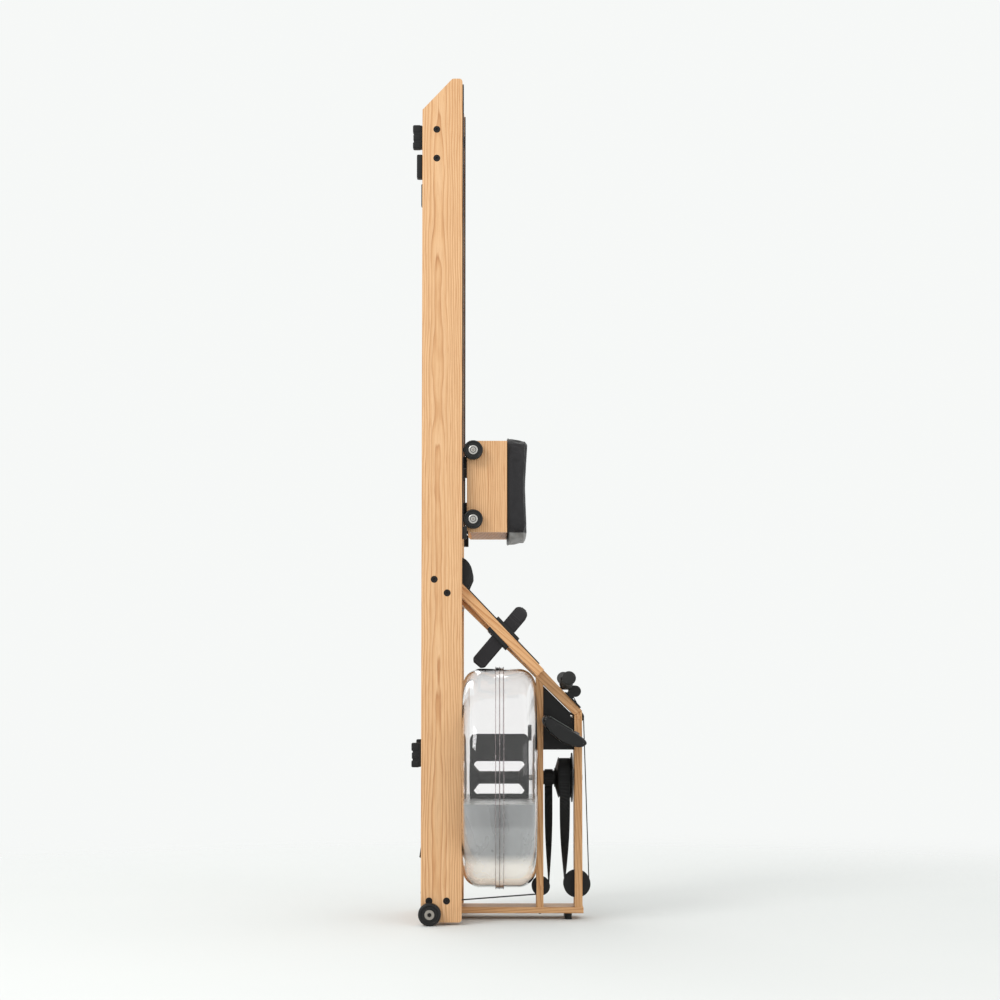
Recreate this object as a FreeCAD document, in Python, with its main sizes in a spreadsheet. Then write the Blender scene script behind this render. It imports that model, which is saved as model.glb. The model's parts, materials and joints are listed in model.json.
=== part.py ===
"""Water-resistance rowing machine, standing on its front end as it is stored.

+Z runs up along the rails, +X is the side that faces up in use, Y = 0 is the plane of symmetry.
The floor is Z = 0. Most sizes below are given from the top faces of the two rails, which lie at
X = rail_top: a size such as deck_low is a height above the rails in use.
"""
import math
import os
import re

import FreeCAD
import Part
import Sketcher

Vector = FreeCAD.Vector
X_AXIS = Vector(1, 0, 0)
Y_AXIS = Vector(0, 1, 0)
Z_AXIS = Vector(0, 0, 1)
TANK_PLACE = ("rail_top", "0", "tank_up")
SEAT_WHEELS = ("seat_wheel_low", "seat_wheel_high")
BUTTON_SIDES = ("-24", "24")

SIZES = {
    # two main rails, standing on end
    "rail_top": -99, "rail_deep": 100, "rail_thick": 28, "rail_inner": 152, "rail_foot": 7,
    "rail_long": 2095, "rail_tip": 75, "rail_round": 8,
    "track_low": 947, "track_high": 2088, "track_thick": 3.3, "track_lip": 6, "track_wide": 32,
    "stop_high": 8.7, "stop_long": 30, "rear_stop_low": 2008,
    "bolt_head": 8.5, "bolt_shank": 4, "bolt_long": 75, "bolt_sunk": 4, "bolt_play": 0.1,
    "rear_bolt_low": 1900, "rear_bolt_high": 1973, "rear_bolt_deep": 64, "rear_spacer_thick": 28,
    "front_bolt_up": 59, "front_bolt_near": 37, "front_bolt_far": 80,
    "spacer_low": 31, "spacer_high": 74, "spacer_near": 18, "spacer_far": 98, "spacer_slot": 14,
    "pad_high": 24, "pad_wide": 24, "pad_long": 60, "rear_pad_low": 1925, "front_pad_low": 384,
    "pad_lobe": 14.6, "thin_pad_high": 14, "thin_pad_low": 1850,
    # transport wheels
    "roller_radius": 28, "roller_wide": 23, "roller_deep": 78, "roller_gap": 3, "roller_bolt": 6,
    # narrow frame over the tank
    "frame_inner": 34, "frame_outer": 50, "board_low": 16, "board_high": 31, "board_end": 303,
    "deck_low": 185.4, "deck_low_thick": 17.3, "deck_high": 281.4, "deck_high_thick": 19.1,
    "deck_corner_up": 521.4, "deck_inner_up": 509.1, "deck_low_out": 586.6, "deck_low_in": 603.6,
    "foot_radius": 9.5, "foot_out": 265, "foot_side": 36,
    # sloped footboard, measured along the slope and square to it from slope_out, slope_up
    "slope": 46.4, "slope_out": 6.7, "slope_up": 830, "slope_start": 84, "slope_end": 425.5,
    "beam_deep": 36, "beam_tip_deep": 22, "beam_tip_in": 421.6, "panel_thick": 24, "panel_end": 285,
    "panel_edge": 151.5, "cross_end": 4, "cross_deep": 64, "foot_bolt_low": 17.2, "foot_bolt_high": 63.6,
    "foot_bolt_deep": 43.3, "plate_start": 80, "plate_end": 266, "plate_thick": 3,
    "plate_inner": 54, "plate_outer": 148, "foot_middle": 101, "strap_place": 149, "strap_half": 18,
    "lug_half": 38, "lug_high": 9, "strap_rise": 26, "strap_radius": 44, "strap_thick": 3,
    "tail_deep": 104, "clamp_half": 34, "clamp_thick": 9,
    "heel_back": 76, "heel_high": 48, "heel_front": 5, "heel_half": 42, "heel_wall": 4,
    # water tank
    "tank_up": 352, "tank_radius": 275, "tank_wall": 4, "tank_high": 185, "tank_round": 45,
    "flange_radius": 279.5, "flange_low": 84, "seal_low": 92, "seal_high": 94, "flange_high": 102,
    "shaft_hole": 22, "water_up": 298, "water_gap": 0.5, "swirl_radius": 116,
    "plug_radius": 20, "plug_lip": 25, "plug_side": 110, "plug_rise": 110, "plug_lip_thick": 4,
    # paddle, shaft and drums
    "shaft_radius": 7, "shaft_low": 10, "shaft_high": 303, "run_gap": 0.05,
    "paddle_low": 12, "paddle_high": 172, "hub_radius": 16, "blade_in": 41, "blade_out": 110,
    "blade_thick": 4, "blade_round": 18, "arm_wide": 13, "disc_thick": 4, "spool_radius": 42,
    "spool_taper": 30,
    "bearing_radius": 32, "bearing_high": 198, "block_half": 20,
    "drum_middle": 257.2, "drum_radius": 45.7, "drum_flange": 51, "drum_half": 14,
    "recoil_middle": 217.3, "recoil_radius": 17.7, "recoil_flange": 24, "drum_lip": 2,
    "sensor_radius": 62, "sensor_low": 274, "sensor_high": 277.5,
    # pulleys and straps
    "drive_up": 86, "drive_groove": 29.7, "drive_flange": 34, "drive_axle": 5,
    "small_up": 80, "small_groove": 19.2, "small_flange": 23, "small_axle": 4, "small_out": 197,
    "cord_pulley_deep": 78, "cord_pulley_up": 64, "cord_groove": 24, "cord_flange": 28,
    "cord_pulley_half": 12, "cord_groove_half": 10.6, "pulley_half": 19, "groove_half": 16.6,
    "guide_out": 293, "guide_up": 505, "guide_groove": 12, "guide_flange": 14, "guide_axle": 3,
    "strap_gap": 0.3, "web_thick": 1.6, "web_wide": 26, "web_wound": 3, "recoil_wide": 20,
    "cord_radius": 5, "cord_low": 150, "cord_sleeve": 7, "ring_radius": 10, "ring_wire": 2.5,
    # handle and its rest
    "handle_out": 262, "handle_up": 589.5, "bar_radius": 13, "bar_half": 62, "grip_radius": 17,
    "grip_long": 172, "grip_droop": 4.6, "spigot_radius": 8, "spigot_long": 120, "clip_half": 16,
    "peg_radius": 14.5, "peg_along": 379, "peg_rise": 21, "peg_in": 38, "peg_out": 58,
    "rest_start": 366, "rest_end": 418, "rest_thick": 4,
    # side plates and monitor
    "side_plate_thick": 3, "side_plate_low": 423, "monitor_out": 206.6, "monitor_up": 517.4,
    "monitor_tilt": 30.9, "monitor_side": 104, "monitor_half": 46, "pivot_along": 62, "pivot_deep": 22,
    "pivot_radius": 7, "button_radius": 6, "button_high": 1.5,
    # seat
    "seat_low": 965, "seat_high": 1193, "seat_bottom": 11.6, "seat_board": 18, "seat_outer": 150,
    "cushion_base": 111.5, "cushion_top": 160, "cushion_low": 941, "cushion_high": 1211,
    "cushion_round": 30, "seat_wheel_low": 996, "seat_wheel_high": 1168, "seat_wheel_radius": 24,
    "seat_wheel_out": 27.4, "seat_wheel_in": 156, "seat_wheel_wide": 20, "seat_bolt": 4,
    "guide_low": 1010, "guide_high": 1125, "guide_long": 30, "guide_leg": 8, "tongue_thick": 5,
}

doc = FreeCAD.newDocument("rowing_machine")
sheet = doc.addObject("Spreadsheet::Sheet", "sizes")
for row, (alias, size) in enumerate(SIZES.items(), start=1):
    sheet.set(f"A{row}", alias)
    sheet.set(f"B{row}", str(size))
    sheet.setAlias(f"B{row}", alias)
doc.recompute()

WORD = re.compile(r"[a-z]+(?:_[a-z]+)*")
nodes = {}


def bound(formula):
    """The formula with every size read from the sheet."""
    return WORD.sub(lambda word: f"sizes.{word.group(0)}", str(formula))


def number(formula):
    """What the formula comes to now, for the first shape of a sketch."""
    plain = WORD.sub(lambda word: f"({SIZES[word.group(0)]})", str(formula))
    return FreeCAD.Units.Quantity(plain).Value


def bind(thing, **formulas):
    for name, formula in formulas.items():
        thing.setExpression(name, bound(formula))


def move_to(thing, x=0, y=0, z=0):
    """Bind where a piece stands."""
    for axis, formula in zip("xyz", (x, y, z)):
        thing.setExpression(f"Placement.Base.{axis}", bound(formula))


def keep(thing, name):
    """Name a finished sub-part: its label is its file's name."""
    thing.Label = name
    nodes[name] = thing
    return thing


# ---------------------------------------------------------------- simple forms

def box(corner, size):
    """A block from its lowest corner."""
    block = doc.addObject("Part::Box", "block")
    bind(block, Length=size[0], Width=size[1], Height=size[2])
    move_to(block, *corner)
    return block


def rod(radius, start, axis, length, angle=360):
    """A round bar that runs from start along an axis."""
    bar = doc.addObject("Part::Cylinder", "bar")
    bind(bar, Radius=radius, Height=length)
    bar.Angle = angle
    bar.Placement = FreeCAD.Placement(Vector(), FreeCAD.Rotation(Z_AXIS, axis))
    move_to(bar, *start)
    return bar


def cut(base, *tools):
    """The base with every tool taken out of it."""
    for tool in tools:
        result = doc.addObject("Part::Cut", "cut")
        result.Base = base
        result.Tool = tool
        base = result
    return base


def join(*pieces):
    result = doc.addObject("Part::MultiFuse", "joined")
    result.Shapes = list(pieces)
    return result


def group(*pieces):
    """Separate solids in one sub-part."""
    result = doc.addObject("Part::Compound", "group")
    result.Links = list(pieces)
    return result


def mirrored(piece):
    """The same piece on the other side of the plane Y = 0."""
    result = doc.addObject("Part::Mirroring", "mirrored")
    result.Source = piece
    result.Normal = Y_AXIS
    result.Base = Vector()
    return result


def pair(piece):
    return group(piece, mirrored(piece))


def on_slope(piece):
    """Move a piece drawn along X and Z onto the footboard's slope."""
    piece.Placement = FreeCAD.Placement(Vector(), FreeCAD.Rotation(Y_AXIS, SIZES["slope"]))
    piece.setExpression("Placement.Rotation.Angle", bound("slope"))
    move_to(piece, "rail_top + slope_out", 0, "slope_up")
    return piece


def sketch_outline(body, outline):
    """A closed outline of straight lines in the body's XZ plane, each corner bound to the sheet."""
    sketch = body.newObject("Sketcher::SketchObject", "outline")
    plane = next(f for f in body.Origin.OriginFeatures if f.Role == "XZ_Plane")
    sketch.AttachmentSupport = [(plane, "")]
    sketch.MapMode = "FlatFace"
    corners = [Vector(number(across), number(up), 0) for across, up in outline]
    for here, there in zip(corners, corners[1:] + corners[:1]):
        sketch.addGeometry(Part.LineSegment(here, there))
    count = len(corners)
    for edge in range(count):
        sketch.addConstraint(Sketcher.Constraint("Coincident", edge, 2, (edge + 1) % count, 1))
    for edge, (corner, formulas) in enumerate(zip(corners, outline)):
        for kind, size, formula in zip(("DistanceX", "DistanceY"), (corner.x, corner.y), formulas):
            place = sketch.addConstraint(Sketcher.Constraint(kind, -1, 1, edge, 1, size))
            sketch.setExpression(f"Constraints[{place}]", bound(formula))
    return sketch


def plank(outline, inner, outer):
    """An outline in XZ, padded from Y = inner to Y = outer."""
    body = doc.addObject("PartDesign::Body", "plank")
    pad = body.newObject("PartDesign::Pad", "pad")
    pad.Profile = sketch_outline(body, outline)
    bind(pad, Length=f"({outer}) - ({inner})")
    pad.Midplane = True
    move_to(body, 0, f"(({outer}) + ({inner})) / 2", 0)
    return body


def turned(outline, axis, start):
    """An outline of radius and height, turned about its height, which points along an axis."""
    body = doc.addObject("PartDesign::Body", "turned")
    turn = body.newObject("PartDesign::Revolution", "turn")
    turn.Profile = sketch_outline(body, outline)
    turn.ReferenceAxis = (turn.Profile[0], ["V_Axis"])
    turn.Angle = 360
    body.Placement = FreeCAD.Placement(Vector(), FreeCAD.Rotation(Z_AXIS, axis))
    move_to(body, *start)
    return body


def rounded(body, radius, chosen):
    """Round the edges of a body that the test picks."""
    doc.recompute()
    solid = body.Tip
    edges = [f"Edge{i + 1}" for i, edge in enumerate(solid.Shape.Edges) if chosen(edge)]
    fillet = body.newObject("PartDesign::Fillet", "fillet")
    fillet.Base = (solid, edges)
    bind(fillet, Radius=radius)
    body.Tip = fillet
    return body


def circle_at(radius, height):
    """A test for the full circle of this radius at this height along the turning axis."""
    def test(edge):
        curve = edge.Curve
        return (isinstance(curve, Part.Circle) and abs(curve.Radius - number(radius)) < 0.01
                and abs(curve.Center.z - number(height)) < 0.01)
    return test


def feature(name, shape):
    """A shape that no primitive or sketch makes, such as a twisted strap."""
    piece = doc.addObject("Part::Feature", name)
    piece.Shape = shape
    return keep(piece, name)


# ---------------------------------------------------------------- rails and what joins them

RAIL_BOLTS = (
    ("-rear_bolt_deep", "rear_bolt_low"),
    ("-rear_bolt_deep", "rear_bolt_high"),
    ("-front_bolt_near", "front_bolt_up"),
    ("-front_bolt_far", "front_bolt_up"),
)
# the two footboard bolts lie on a line parallel to the slope
SLOPE_BOLTS = ("-foot_bolt_low", "-foot_bolt_high")


def slope_point(along, rise):
    """Height above the rails and floor of a point given along and square to the slope."""
    turn = math.radians(SIZES["slope"])
    out = f"slope_out + ({along}) * {math.cos(turn):.6f} + ({rise}) * {math.sin(turn):.6f}"
    up = f"slope_up - ({along}) * {math.sin(turn):.6f} + ({rise}) * {math.cos(turn):.6f}"
    return out, up


def bolt_places():
    return list(RAIL_BOLTS) + [slope_point(along, "-foot_bolt_deep") for along in SLOPE_BOLTS]


def bolt_holes():
    """Clearance holes and sunk seats on the near side, made to be cut from a rail or a spacer."""
    tools = []
    for out, up in bolt_places():
        start = (f"rail_top + {out}", "-rail_inner - rail_thick - 1", up)
        tools.append(rod("bolt_shank + bolt_play", start, Y_AXIS, "bolt_long + 2"))
        tools.append(rod("bolt_head + 0.2", start, Y_AXIS, "bolt_sunk + 1"))
    return tools


def make_rails():
    outline = (
        ("rail_top - rail_deep", "rail_foot"),
        ("rail_top", "rail_foot"),
        ("rail_top", "rail_foot + rail_long"),
        ("rail_top - rail_deep + rail_tip", "rail_foot + rail_long"),
        ("rail_top - rail_deep", "rail_foot + rail_long - rail_tip - 4"),
    )
    body = plank(outline, "-rail_inner - rail_thick", "-rail_inner")
    ends = (number("rail_foot"), number("rail_foot + rail_long"))

    def end_corner(edge):
        box_of = edge.BoundBox
        upright = box_of.XLength < 0.01 and box_of.ZLength < 0.01
        return upright and min(abs(box_of.ZMin - end) for end in ends) < 0.01

    rounded(body, "rail_round", end_corner)
    axle = rod("roller_bolt + bolt_play",
               ("rail_top - roller_deep", "-rail_inner - rail_thick - 1", "roller_radius"),
               Y_AXIS, "rail_thick - 3")
    right = cut(body, *bolt_holes(), axle)
    keep(right, "rail_right")
    keep(mirrored(right), "rail_left")


def make_bolts():
    bolts = []
    for out, up in bolt_places():
        start = (f"rail_top + {out}", "-rail_inner - rail_thick", up)
        sunk = (start[0], "-rail_inner - rail_thick + 0.2", up)
        shank = rod("bolt_shank", sunk, Y_AXIS, "bolt_long - 0.5")
        head = rod("bolt_head", sunk, Y_AXIS, "bolt_sunk - 0.2")
        socket = rod("3", start, Y_AXIS, "2.6")
        bolts.append(cut(join(shank, head), socket))
    bolts += [mirrored(bolt) for bolt in bolts]
    keep(group(*bolts), "rail_bolts")


def both_sides(tools):
    return tools + [mirrored(tool) for tool in tools]


def make_spacers():
    rear = box(("rail_top - rear_bolt_deep - rear_spacer_thick / 2", "-rail_inner", "rear_bolt_low - 29"),
               ("rear_spacer_thick", "rail_inner * 2", "130"))
    keep(cut(rear, *both_sides(bolt_holes())), "rear_spacer")
    front = box(("rail_top - spacer_far", "-rail_inner", "spacer_low"),
                ("spacer_far - spacer_near", "rail_inner * 2", "spacer_high - spacer_low"))
    slot = box(("rail_top - spacer_far - 1", "-spacer_slot", "spacer_low - 1"),
               ("62", "spacer_slot * 2", "spacer_high - spacer_low + 2"))
    groove = box(("rail_top - 40", "-12", "spacer_low - 1"), ("30", "24", "27"))
    hole = rod("small_axle", ("rail_top - cord_pulley_deep", "-30", "cord_pulley_up"), Y_AXIS, "60")
    keep(cut(front, slot, groove, hole, *both_sides(bolt_holes())), "front_spacer")


def make_tracks():
    """Two running strips that overhang the rails' inner edges, so that the seat's hooks hold on them."""
    track = box(("rail_top", "-rail_inner + track_lip - track_wide", "track_low"),
                ("track_thick", "track_wide", "track_high - track_low"))
    keep(pair(track), "seat_tracks")
    stop = box(("rail_top + track_thick", "-rail_inner - 25", "track_low"),
               ("stop_high", "22", "stop_long"))
    rear = box(("rail_top - 34", "-rail_inner", "rear_stop_low"), ("32", "14", "30"))
    keep(group(stop, mirrored(stop), rear, mirrored(rear)), "seat_stops")


def make_floor_pads():
    """Rubber pads under the rails in use: lobed ones front and rear, a thin one beside the rear one."""
    pads = []
    for low in ("rear_pad_low", "front_pad_low"):
        base = box(("rail_top - rail_deep - 8", "-rail_inner - 26", low), ("8", "pad_wide", "pad_long"))
        lobes = [rod("pad_lobe", ("rail_top - rail_deep - 11", "-rail_inner - 26", f"{low} + {up}"),
                     Y_AXIS, "pad_wide") for up in (16, 44)]
        back = box(("rail_top - rail_deep", "-rail_inner - 27", f"{low} - 1"), ("20", "26", "62"))
        face = box(("rail_top - rail_deep - 40", "-rail_inner - 27", f"{low} - 1"),
                   ("40 - pad_high", "26", "62"))
        pads.append(cut(join(base, *lobes), back, face))
    pads.append(box(("rail_top - rail_deep - thin_pad_high", "-rail_inner - 26", "thin_pad_low"),
                    ("thin_pad_high", "pad_wide", "pad_long")))
    keep(group(*pads, *[mirrored(pad) for pad in pads]), "floor_pads")


def make_transport_wheels():
    out, up = "rail_top - roller_deep", "roller_radius"
    far = "-rail_inner - rail_thick - roller_gap - roller_wide"
    profile = (
        ("roller_bolt + run_gap", "0"),
        ("14", "0"), ("14", "2"), ("20", "2"), ("21", "0"), ("roller_radius - 3", "0"),
        ("roller_radius", "3"), ("roller_radius", "roller_wide - 3"),
        ("roller_radius - 3", "roller_wide"), ("roller_bolt + run_gap", "roller_wide"),
    )
    right = turned(profile, Y_AXIS, (out, far, up))
    keep(right, "transport_wheel_right")
    keep(mirrored(right), "transport_wheel_left")
    shank = rod("roller_bolt", (out, f"{far} - 0.3", up), Y_AXIS, "roller_wide + roller_gap + 20")
    head = rod("12", (out, f"{far} - 4.3", up), Y_AXIS, "4")
    washer = rod("10", (out, "-rail_inner - rail_thick - roller_gap + 0.3", up), Y_AXIS, "roller_gap - 0.3")
    socket = rod("5", (out, f"{far} - 5", up), Y_AXIS, "3.5")
    keep(pair(cut(join(shank, head, washer), socket)), "transport_axles")


# ---------------------------------------------------------------- frame over the tank

def make_frame():
    board = box(("rail_top - spacer_far", "-frame_outer", "board_low"),
                ("spacer_far + board_end", "frame_outer * 2", "board_high - board_low"))
    keep(board, "front_board")
    foot = rod("foot_radius", ("rail_top + foot_out", "-foot_side", "0"), Z_AXIS, "board_low")
    keep(pair(foot), "front_feet")
    low_x, low_end = "rail_top + deck_low", "rail_top + deck_low + deck_low_thick"
    low = plank(((low_x, "board_high"), (low_end, "board_high"), (low_end, "deck_low_out"),
                 (low_x, "deck_low_in")), "-frame_outer", "-frame_inner")
    hole = rod("small_axle", ("rail_top + small_out", "-60", "small_up"), Y_AXIS, "60")
    low_rail = cut(low, hole)
    high_x, high_end = "rail_top + deck_high", "rail_top + deck_high + deck_high_thick"
    high = plank(((high_x, "board_high"), (high_end, "board_high"), (high_end, "deck_corner_up"),
                  (high_x, "deck_inner_up")), "-frame_outer", "-frame_inner")
    drive = rod("drive_axle", (drive_out(), "-60", "drive_up"), Y_AXIS, "60")
    guide = rod("guide_axle", ("rail_top + guide_out", "-60", "guide_up"), Y_AXIS, "60")
    high_rail = cut(high, drive, guide)
    keep(group(low_rail, mirrored(low_rail), high_rail, mirrored(high_rail)), "deck_rails")


def drive_out():
    """The drive pulley stands so that its strap leaves it in the drum's middle plane."""
    return "rail_top + drum_middle + drive_groove + strap_gap + web_thick / 2"


def make_footboard():
    beam = plank((("-slope_start", "0"), ("slope_end", "0"), ("beam_tip_in", "-beam_tip_deep"),
                  ("cross_end", "-beam_deep"), ("cross_end", "-panel_thick"),
                  ("-slope_start", "-panel_thick")), "-frame_outer", "-frame_inner")
    keep(pair(on_slope(group(beam))), "footboard_beams")
    panel = box(("-slope_start", "-panel_edge", "-panel_thick"),
                ("slope_start + panel_end", "panel_edge - frame_outer", "panel_thick"))
    keep(pair(on_slope(cut(panel, *strap_slots()))), "footboard_panels")
    cross = box(("-slope_start", "-rail_inner", "-cross_deep"),
                ("slope_start + cross_end", "rail_inner * 2", "cross_deep - panel_thick"))
    eye = rod("3", ("-20", "0", "-foot_bolt_deep"), X_AXIS, "30")
    keep(cut(on_slope(cut(cross, eye)), *both_sides(bolt_holes())), "footboard_crosspiece")


def strap_slots():
    """The two slots that a toe strap goes down through, one each side of the foot."""
    slots = []
    for side in ("strap_radius - strap_thick - 0.5", "-strap_radius - 0.5"):
        slots.append(box(("strap_place - strap_half - 1", f"-foot_middle + {side}", "-panel_thick - 1"),
                         ("strap_half * 2 + 2", "strap_thick + 1",
                          "panel_thick + plate_thick + lug_high + 2")))
    return slots


def make_foot_plates():
    plate = box(("-plate_start", "-plate_outer", "0"),
                ("plate_start + plate_end", "plate_outer - plate_inner", "plate_thick"))
    lugs = [box(("strap_place - lug_half", side, "plate_thick"),
                ("lug_half * 2", "8", "lug_high - plate_thick"))
            for side in ("-plate_outer", "-plate_inner - 8")]
    keep(pair(on_slope(cut(join(plate, *lugs), *strap_slots()))), "foot_plates")


def make_toe_straps():
    """A stiff band that arches over the foot, goes through the board and ends in a hanging tail."""
    middle = "-foot_middle"
    start = "strap_place - strap_half"

    def arch(radius, grow):
        along = f"{start} - {grow}"
        length = f"strap_half * 2 + {grow} * 2"
        bow = rod(radius, (along, middle, "strap_rise"), X_AXIS, length)
        legs = box((along, f"{middle} - ({radius})", "-panel_thick - 1 - strap_thick"),
                   (length, f"({radius}) * 2", "strap_rise + panel_thick + 1 + strap_thick"))
        return join(bow, legs)

    band = cut(arch("strap_radius", 0), arch("strap_radius - strap_thick", 2))
    tail = box((start, f"{middle} - strap_radius", "-tail_deep"), ("strap_half * 2", "strap_thick",
                                                                   "tail_deep - panel_thick - 1"))
    inner = box((start, f"{middle} + strap_radius - strap_thick", "-tail_deep"),
                ("strap_half * 2", "strap_thick", "tail_deep - panel_thick - 1"))
    foot = box((start, f"{middle} - strap_radius", "-tail_deep"),
               ("strap_half * 2", "strap_radius * 2", "strap_thick"))
    keep(pair(on_slope(join(band, tail, inner, foot))), "toe_straps")
    clamps = []
    for side in ("-strap_radius - 6", "-strap_radius + strap_thick + 0.2",
                 "strap_radius - strap_thick - 6.2", "strap_radius"):
        clamps.append(box(("strap_place - clamp_half", f"{middle} + {side}", "-panel_thick - clamp_thick"),
                          ("clamp_half * 2", "5.8", "clamp_thick")))
    keep(pair(on_slope(group(*clamps))), "strap_clamps")


def make_heel_cups():
    """A sliding heel cup on each foot plate, open to the front and the top."""
    side = plank((("-heel_back", "plate_thick + 0.3"), ("heel_front + 30", "plate_thick + 0.3"),
                  ("heel_front + 30", "plate_thick + 3.3"), ("heel_front", "plate_thick + 3.3"),
                  ("-2", "25"), ("-17", "40"), ("-40", "heel_high"), ("-62", "heel_high"),
                  ("-heel_back", "30")), "-foot_middle - heel_half", "-foot_middle + heel_half")
    hollow = box(("-heel_back + heel_wall", "-foot_middle - heel_half + heel_wall", "plate_thick + 3.3"),
                 ("heel_back + 60", "(heel_half - heel_wall) * 2", "60"))
    cup = on_slope(cut(side, hollow))
    keep(cup, "heel_cup_right")
    keep(mirrored(cup), "heel_cup_left")


# ---------------------------------------------------------------- water tank

def make_tank():
    low = turned((("0", "0"), ("tank_radius", "0"), ("tank_radius", "flange_low"),
                  ("flange_radius", "flange_low"), ("flange_radius", "seal_low"), ("0", "seal_low")),
                 X_AXIS, TANK_PLACE)
    rounded(low, "tank_round", circle_at("tank_radius", "0"))
    keep(cut(low, tank_hollow("tank_wall", "seal_low + 1", "tank_wall")), "tank_lower_shell")
    high = turned((("0", "seal_high"), ("flange_radius", "seal_high"), ("flange_radius", "flange_high"),
                   ("tank_radius", "flange_high"), ("tank_radius", "tank_high"), ("0", "tank_high")),
                  X_AXIS, TANK_PLACE)
    rounded(high, "tank_round", circle_at("tank_radius", "tank_high"))
    shaft = rod("shaft_hole", ("rail_top + tank_high - 20", "0", "tank_up"), X_AXIS, "40")
    plug = rod("plug_radius + run_gap",
               ("rail_top + tank_high - 20", "plug_side", "tank_up + plug_rise"), X_AXIS, "40")
    hollow = tank_hollow("seal_high - 1", "tank_high - tank_wall", "tank_high - tank_wall")
    keep(cut(high, hollow, shaft, plug), "tank_upper_shell")
    keep(turned((("tank_radius - tank_wall", "seal_low"), ("flange_radius", "seal_low"),
                 ("flange_radius", "seal_high"), ("tank_radius - tank_wall", "seal_high")),
                X_AXIS, TANK_PLACE), "tank_seal")


def tank_hollow(low, high, end):
    """The space inside the tank between two heights, rounded where it meets the end wall."""
    hollow = turned((("0", low), ("tank_radius - tank_wall", low), ("tank_radius - tank_wall", high),
                     ("0", high)), X_AXIS, TANK_PLACE)
    return rounded(hollow, "tank_round - tank_wall", circle_at("tank_radius - tank_wall", end))


def make_water():
    """The water lies in the lower part of the tank, clear of the space that the paddle sweeps."""
    low, high = "tank_wall + water_gap", "tank_high - tank_wall - water_gap"
    radius = "tank_radius - tank_wall - water_gap"
    fill = turned((("0", low), (radius, low), (radius, high), ("0", high)), X_AXIS, TANK_PLACE)
    rounded(fill, "tank_round - tank_wall - water_gap", circle_at(radius, low))
    rounded(fill, "tank_round - tank_wall - water_gap", circle_at(radius, high))
    air = box(("rail_top - 10", "-300", "water_up"), ("tank_high + 20", "600", "400"))
    swirl = rod("swirl_radius", ("rail_top - 10", "0", "tank_up"), X_AXIS, "tank_high + 20")
    keep(cut(fill, air, swirl), "water")


def make_fill_plug():
    place = ("rail_top + tank_high", "plug_side", "tank_up + plug_rise")
    stem = rod("plug_radius", ("rail_top + tank_high - 12", place[1], place[2]), X_AXIS, "12")
    lip = rod("plug_lip", place, X_AXIS, "plug_lip_thick")
    grip = box(("rail_top + tank_high", "plug_side - 3", "tank_up + plug_rise - 14"), ("14", "6", "28"))
    keep(join(stem, lip, grip), "fill_plug")


# ---------------------------------------------------------------- paddle, shaft and drums

def rounded_slab(place, size, radius):
    """A box whose four edges along Y are rounded."""
    slab = box(place, size)
    doc.recompute()
    edges = [i + 1 for i, edge in enumerate(slab.Shape.Edges)
             if edge.BoundBox.XLength < 1 and edge.BoundBox.ZLength < 1]
    soft = doc.addObject("Part::Fillet", "slab")
    soft.Base = slab
    soft.Edges = [(edge, number(radius), number(radius)) for edge in edges]
    return soft


def make_paddle():
    """Two blades, one above and one below a spool-shaped hub, joined to its ends by arms."""
    long = "paddle_high - paddle_low"
    vane = rounded_slab(("rail_top + paddle_low", "-blade_thick / 2", "tank_up - blade_out"),
                        (long, "blade_thick", "blade_out * 2"), "blade_round")
    windows = [rounded_slab(("rail_top + paddle_low + arm_wide", "-blade_thick", up),
                            (f"{long} - arm_wide * 2", "blade_thick * 2", "blade_in"), "arm_wide")
               for up in ("tank_up", "tank_up - blade_in")]
    spool = turned((("0", "paddle_low"), ("spool_radius", "paddle_low"),
                    ("spool_radius", "paddle_low + disc_thick"),
                    ("hub_radius", "paddle_low + spool_taper"), ("hub_radius", "paddle_high - spool_taper"),
                    ("spool_radius", "paddle_high - disc_thick"), ("spool_radius", "paddle_high"),
                    ("0", "paddle_high")), X_AXIS, TANK_PLACE)
    bore = rod("shaft_radius", ("rail_top", "0", "tank_up"), X_AXIS, "tank_high")
    keep(cut(join(cut(vane, *windows), spool), bore), "paddle")
    keep(rod("shaft_radius", ("rail_top + shaft_low", "0", "tank_up"), X_AXIS, "shaft_high - shaft_low"),
         "drive_shaft")


def make_bearings():
    bore = "shaft_radius + run_gap"
    flange = turned(((bore, "tank_high - tank_wall"), ("shaft_hole - 0.1", "tank_high - tank_wall"),
                     ("shaft_hole - 0.1", "tank_high"), ("bearing_radius", "tank_high"),
                     ("bearing_radius - 3", "bearing_high"), (bore, "bearing_high")),
                    X_AXIS, TANK_PLACE)
    block = box(("rail_top + deck_high", "-frame_inner", "tank_up - block_half"),
                ("deck_high_thick", "frame_inner * 2", "block_half * 2"))
    hole = rod(bore, ("rail_top + deck_high - 1", "0", "tank_up"), X_AXIS, "40")
    keep(group(flange, cut(block, hole)), "shaft_bearings")


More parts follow.
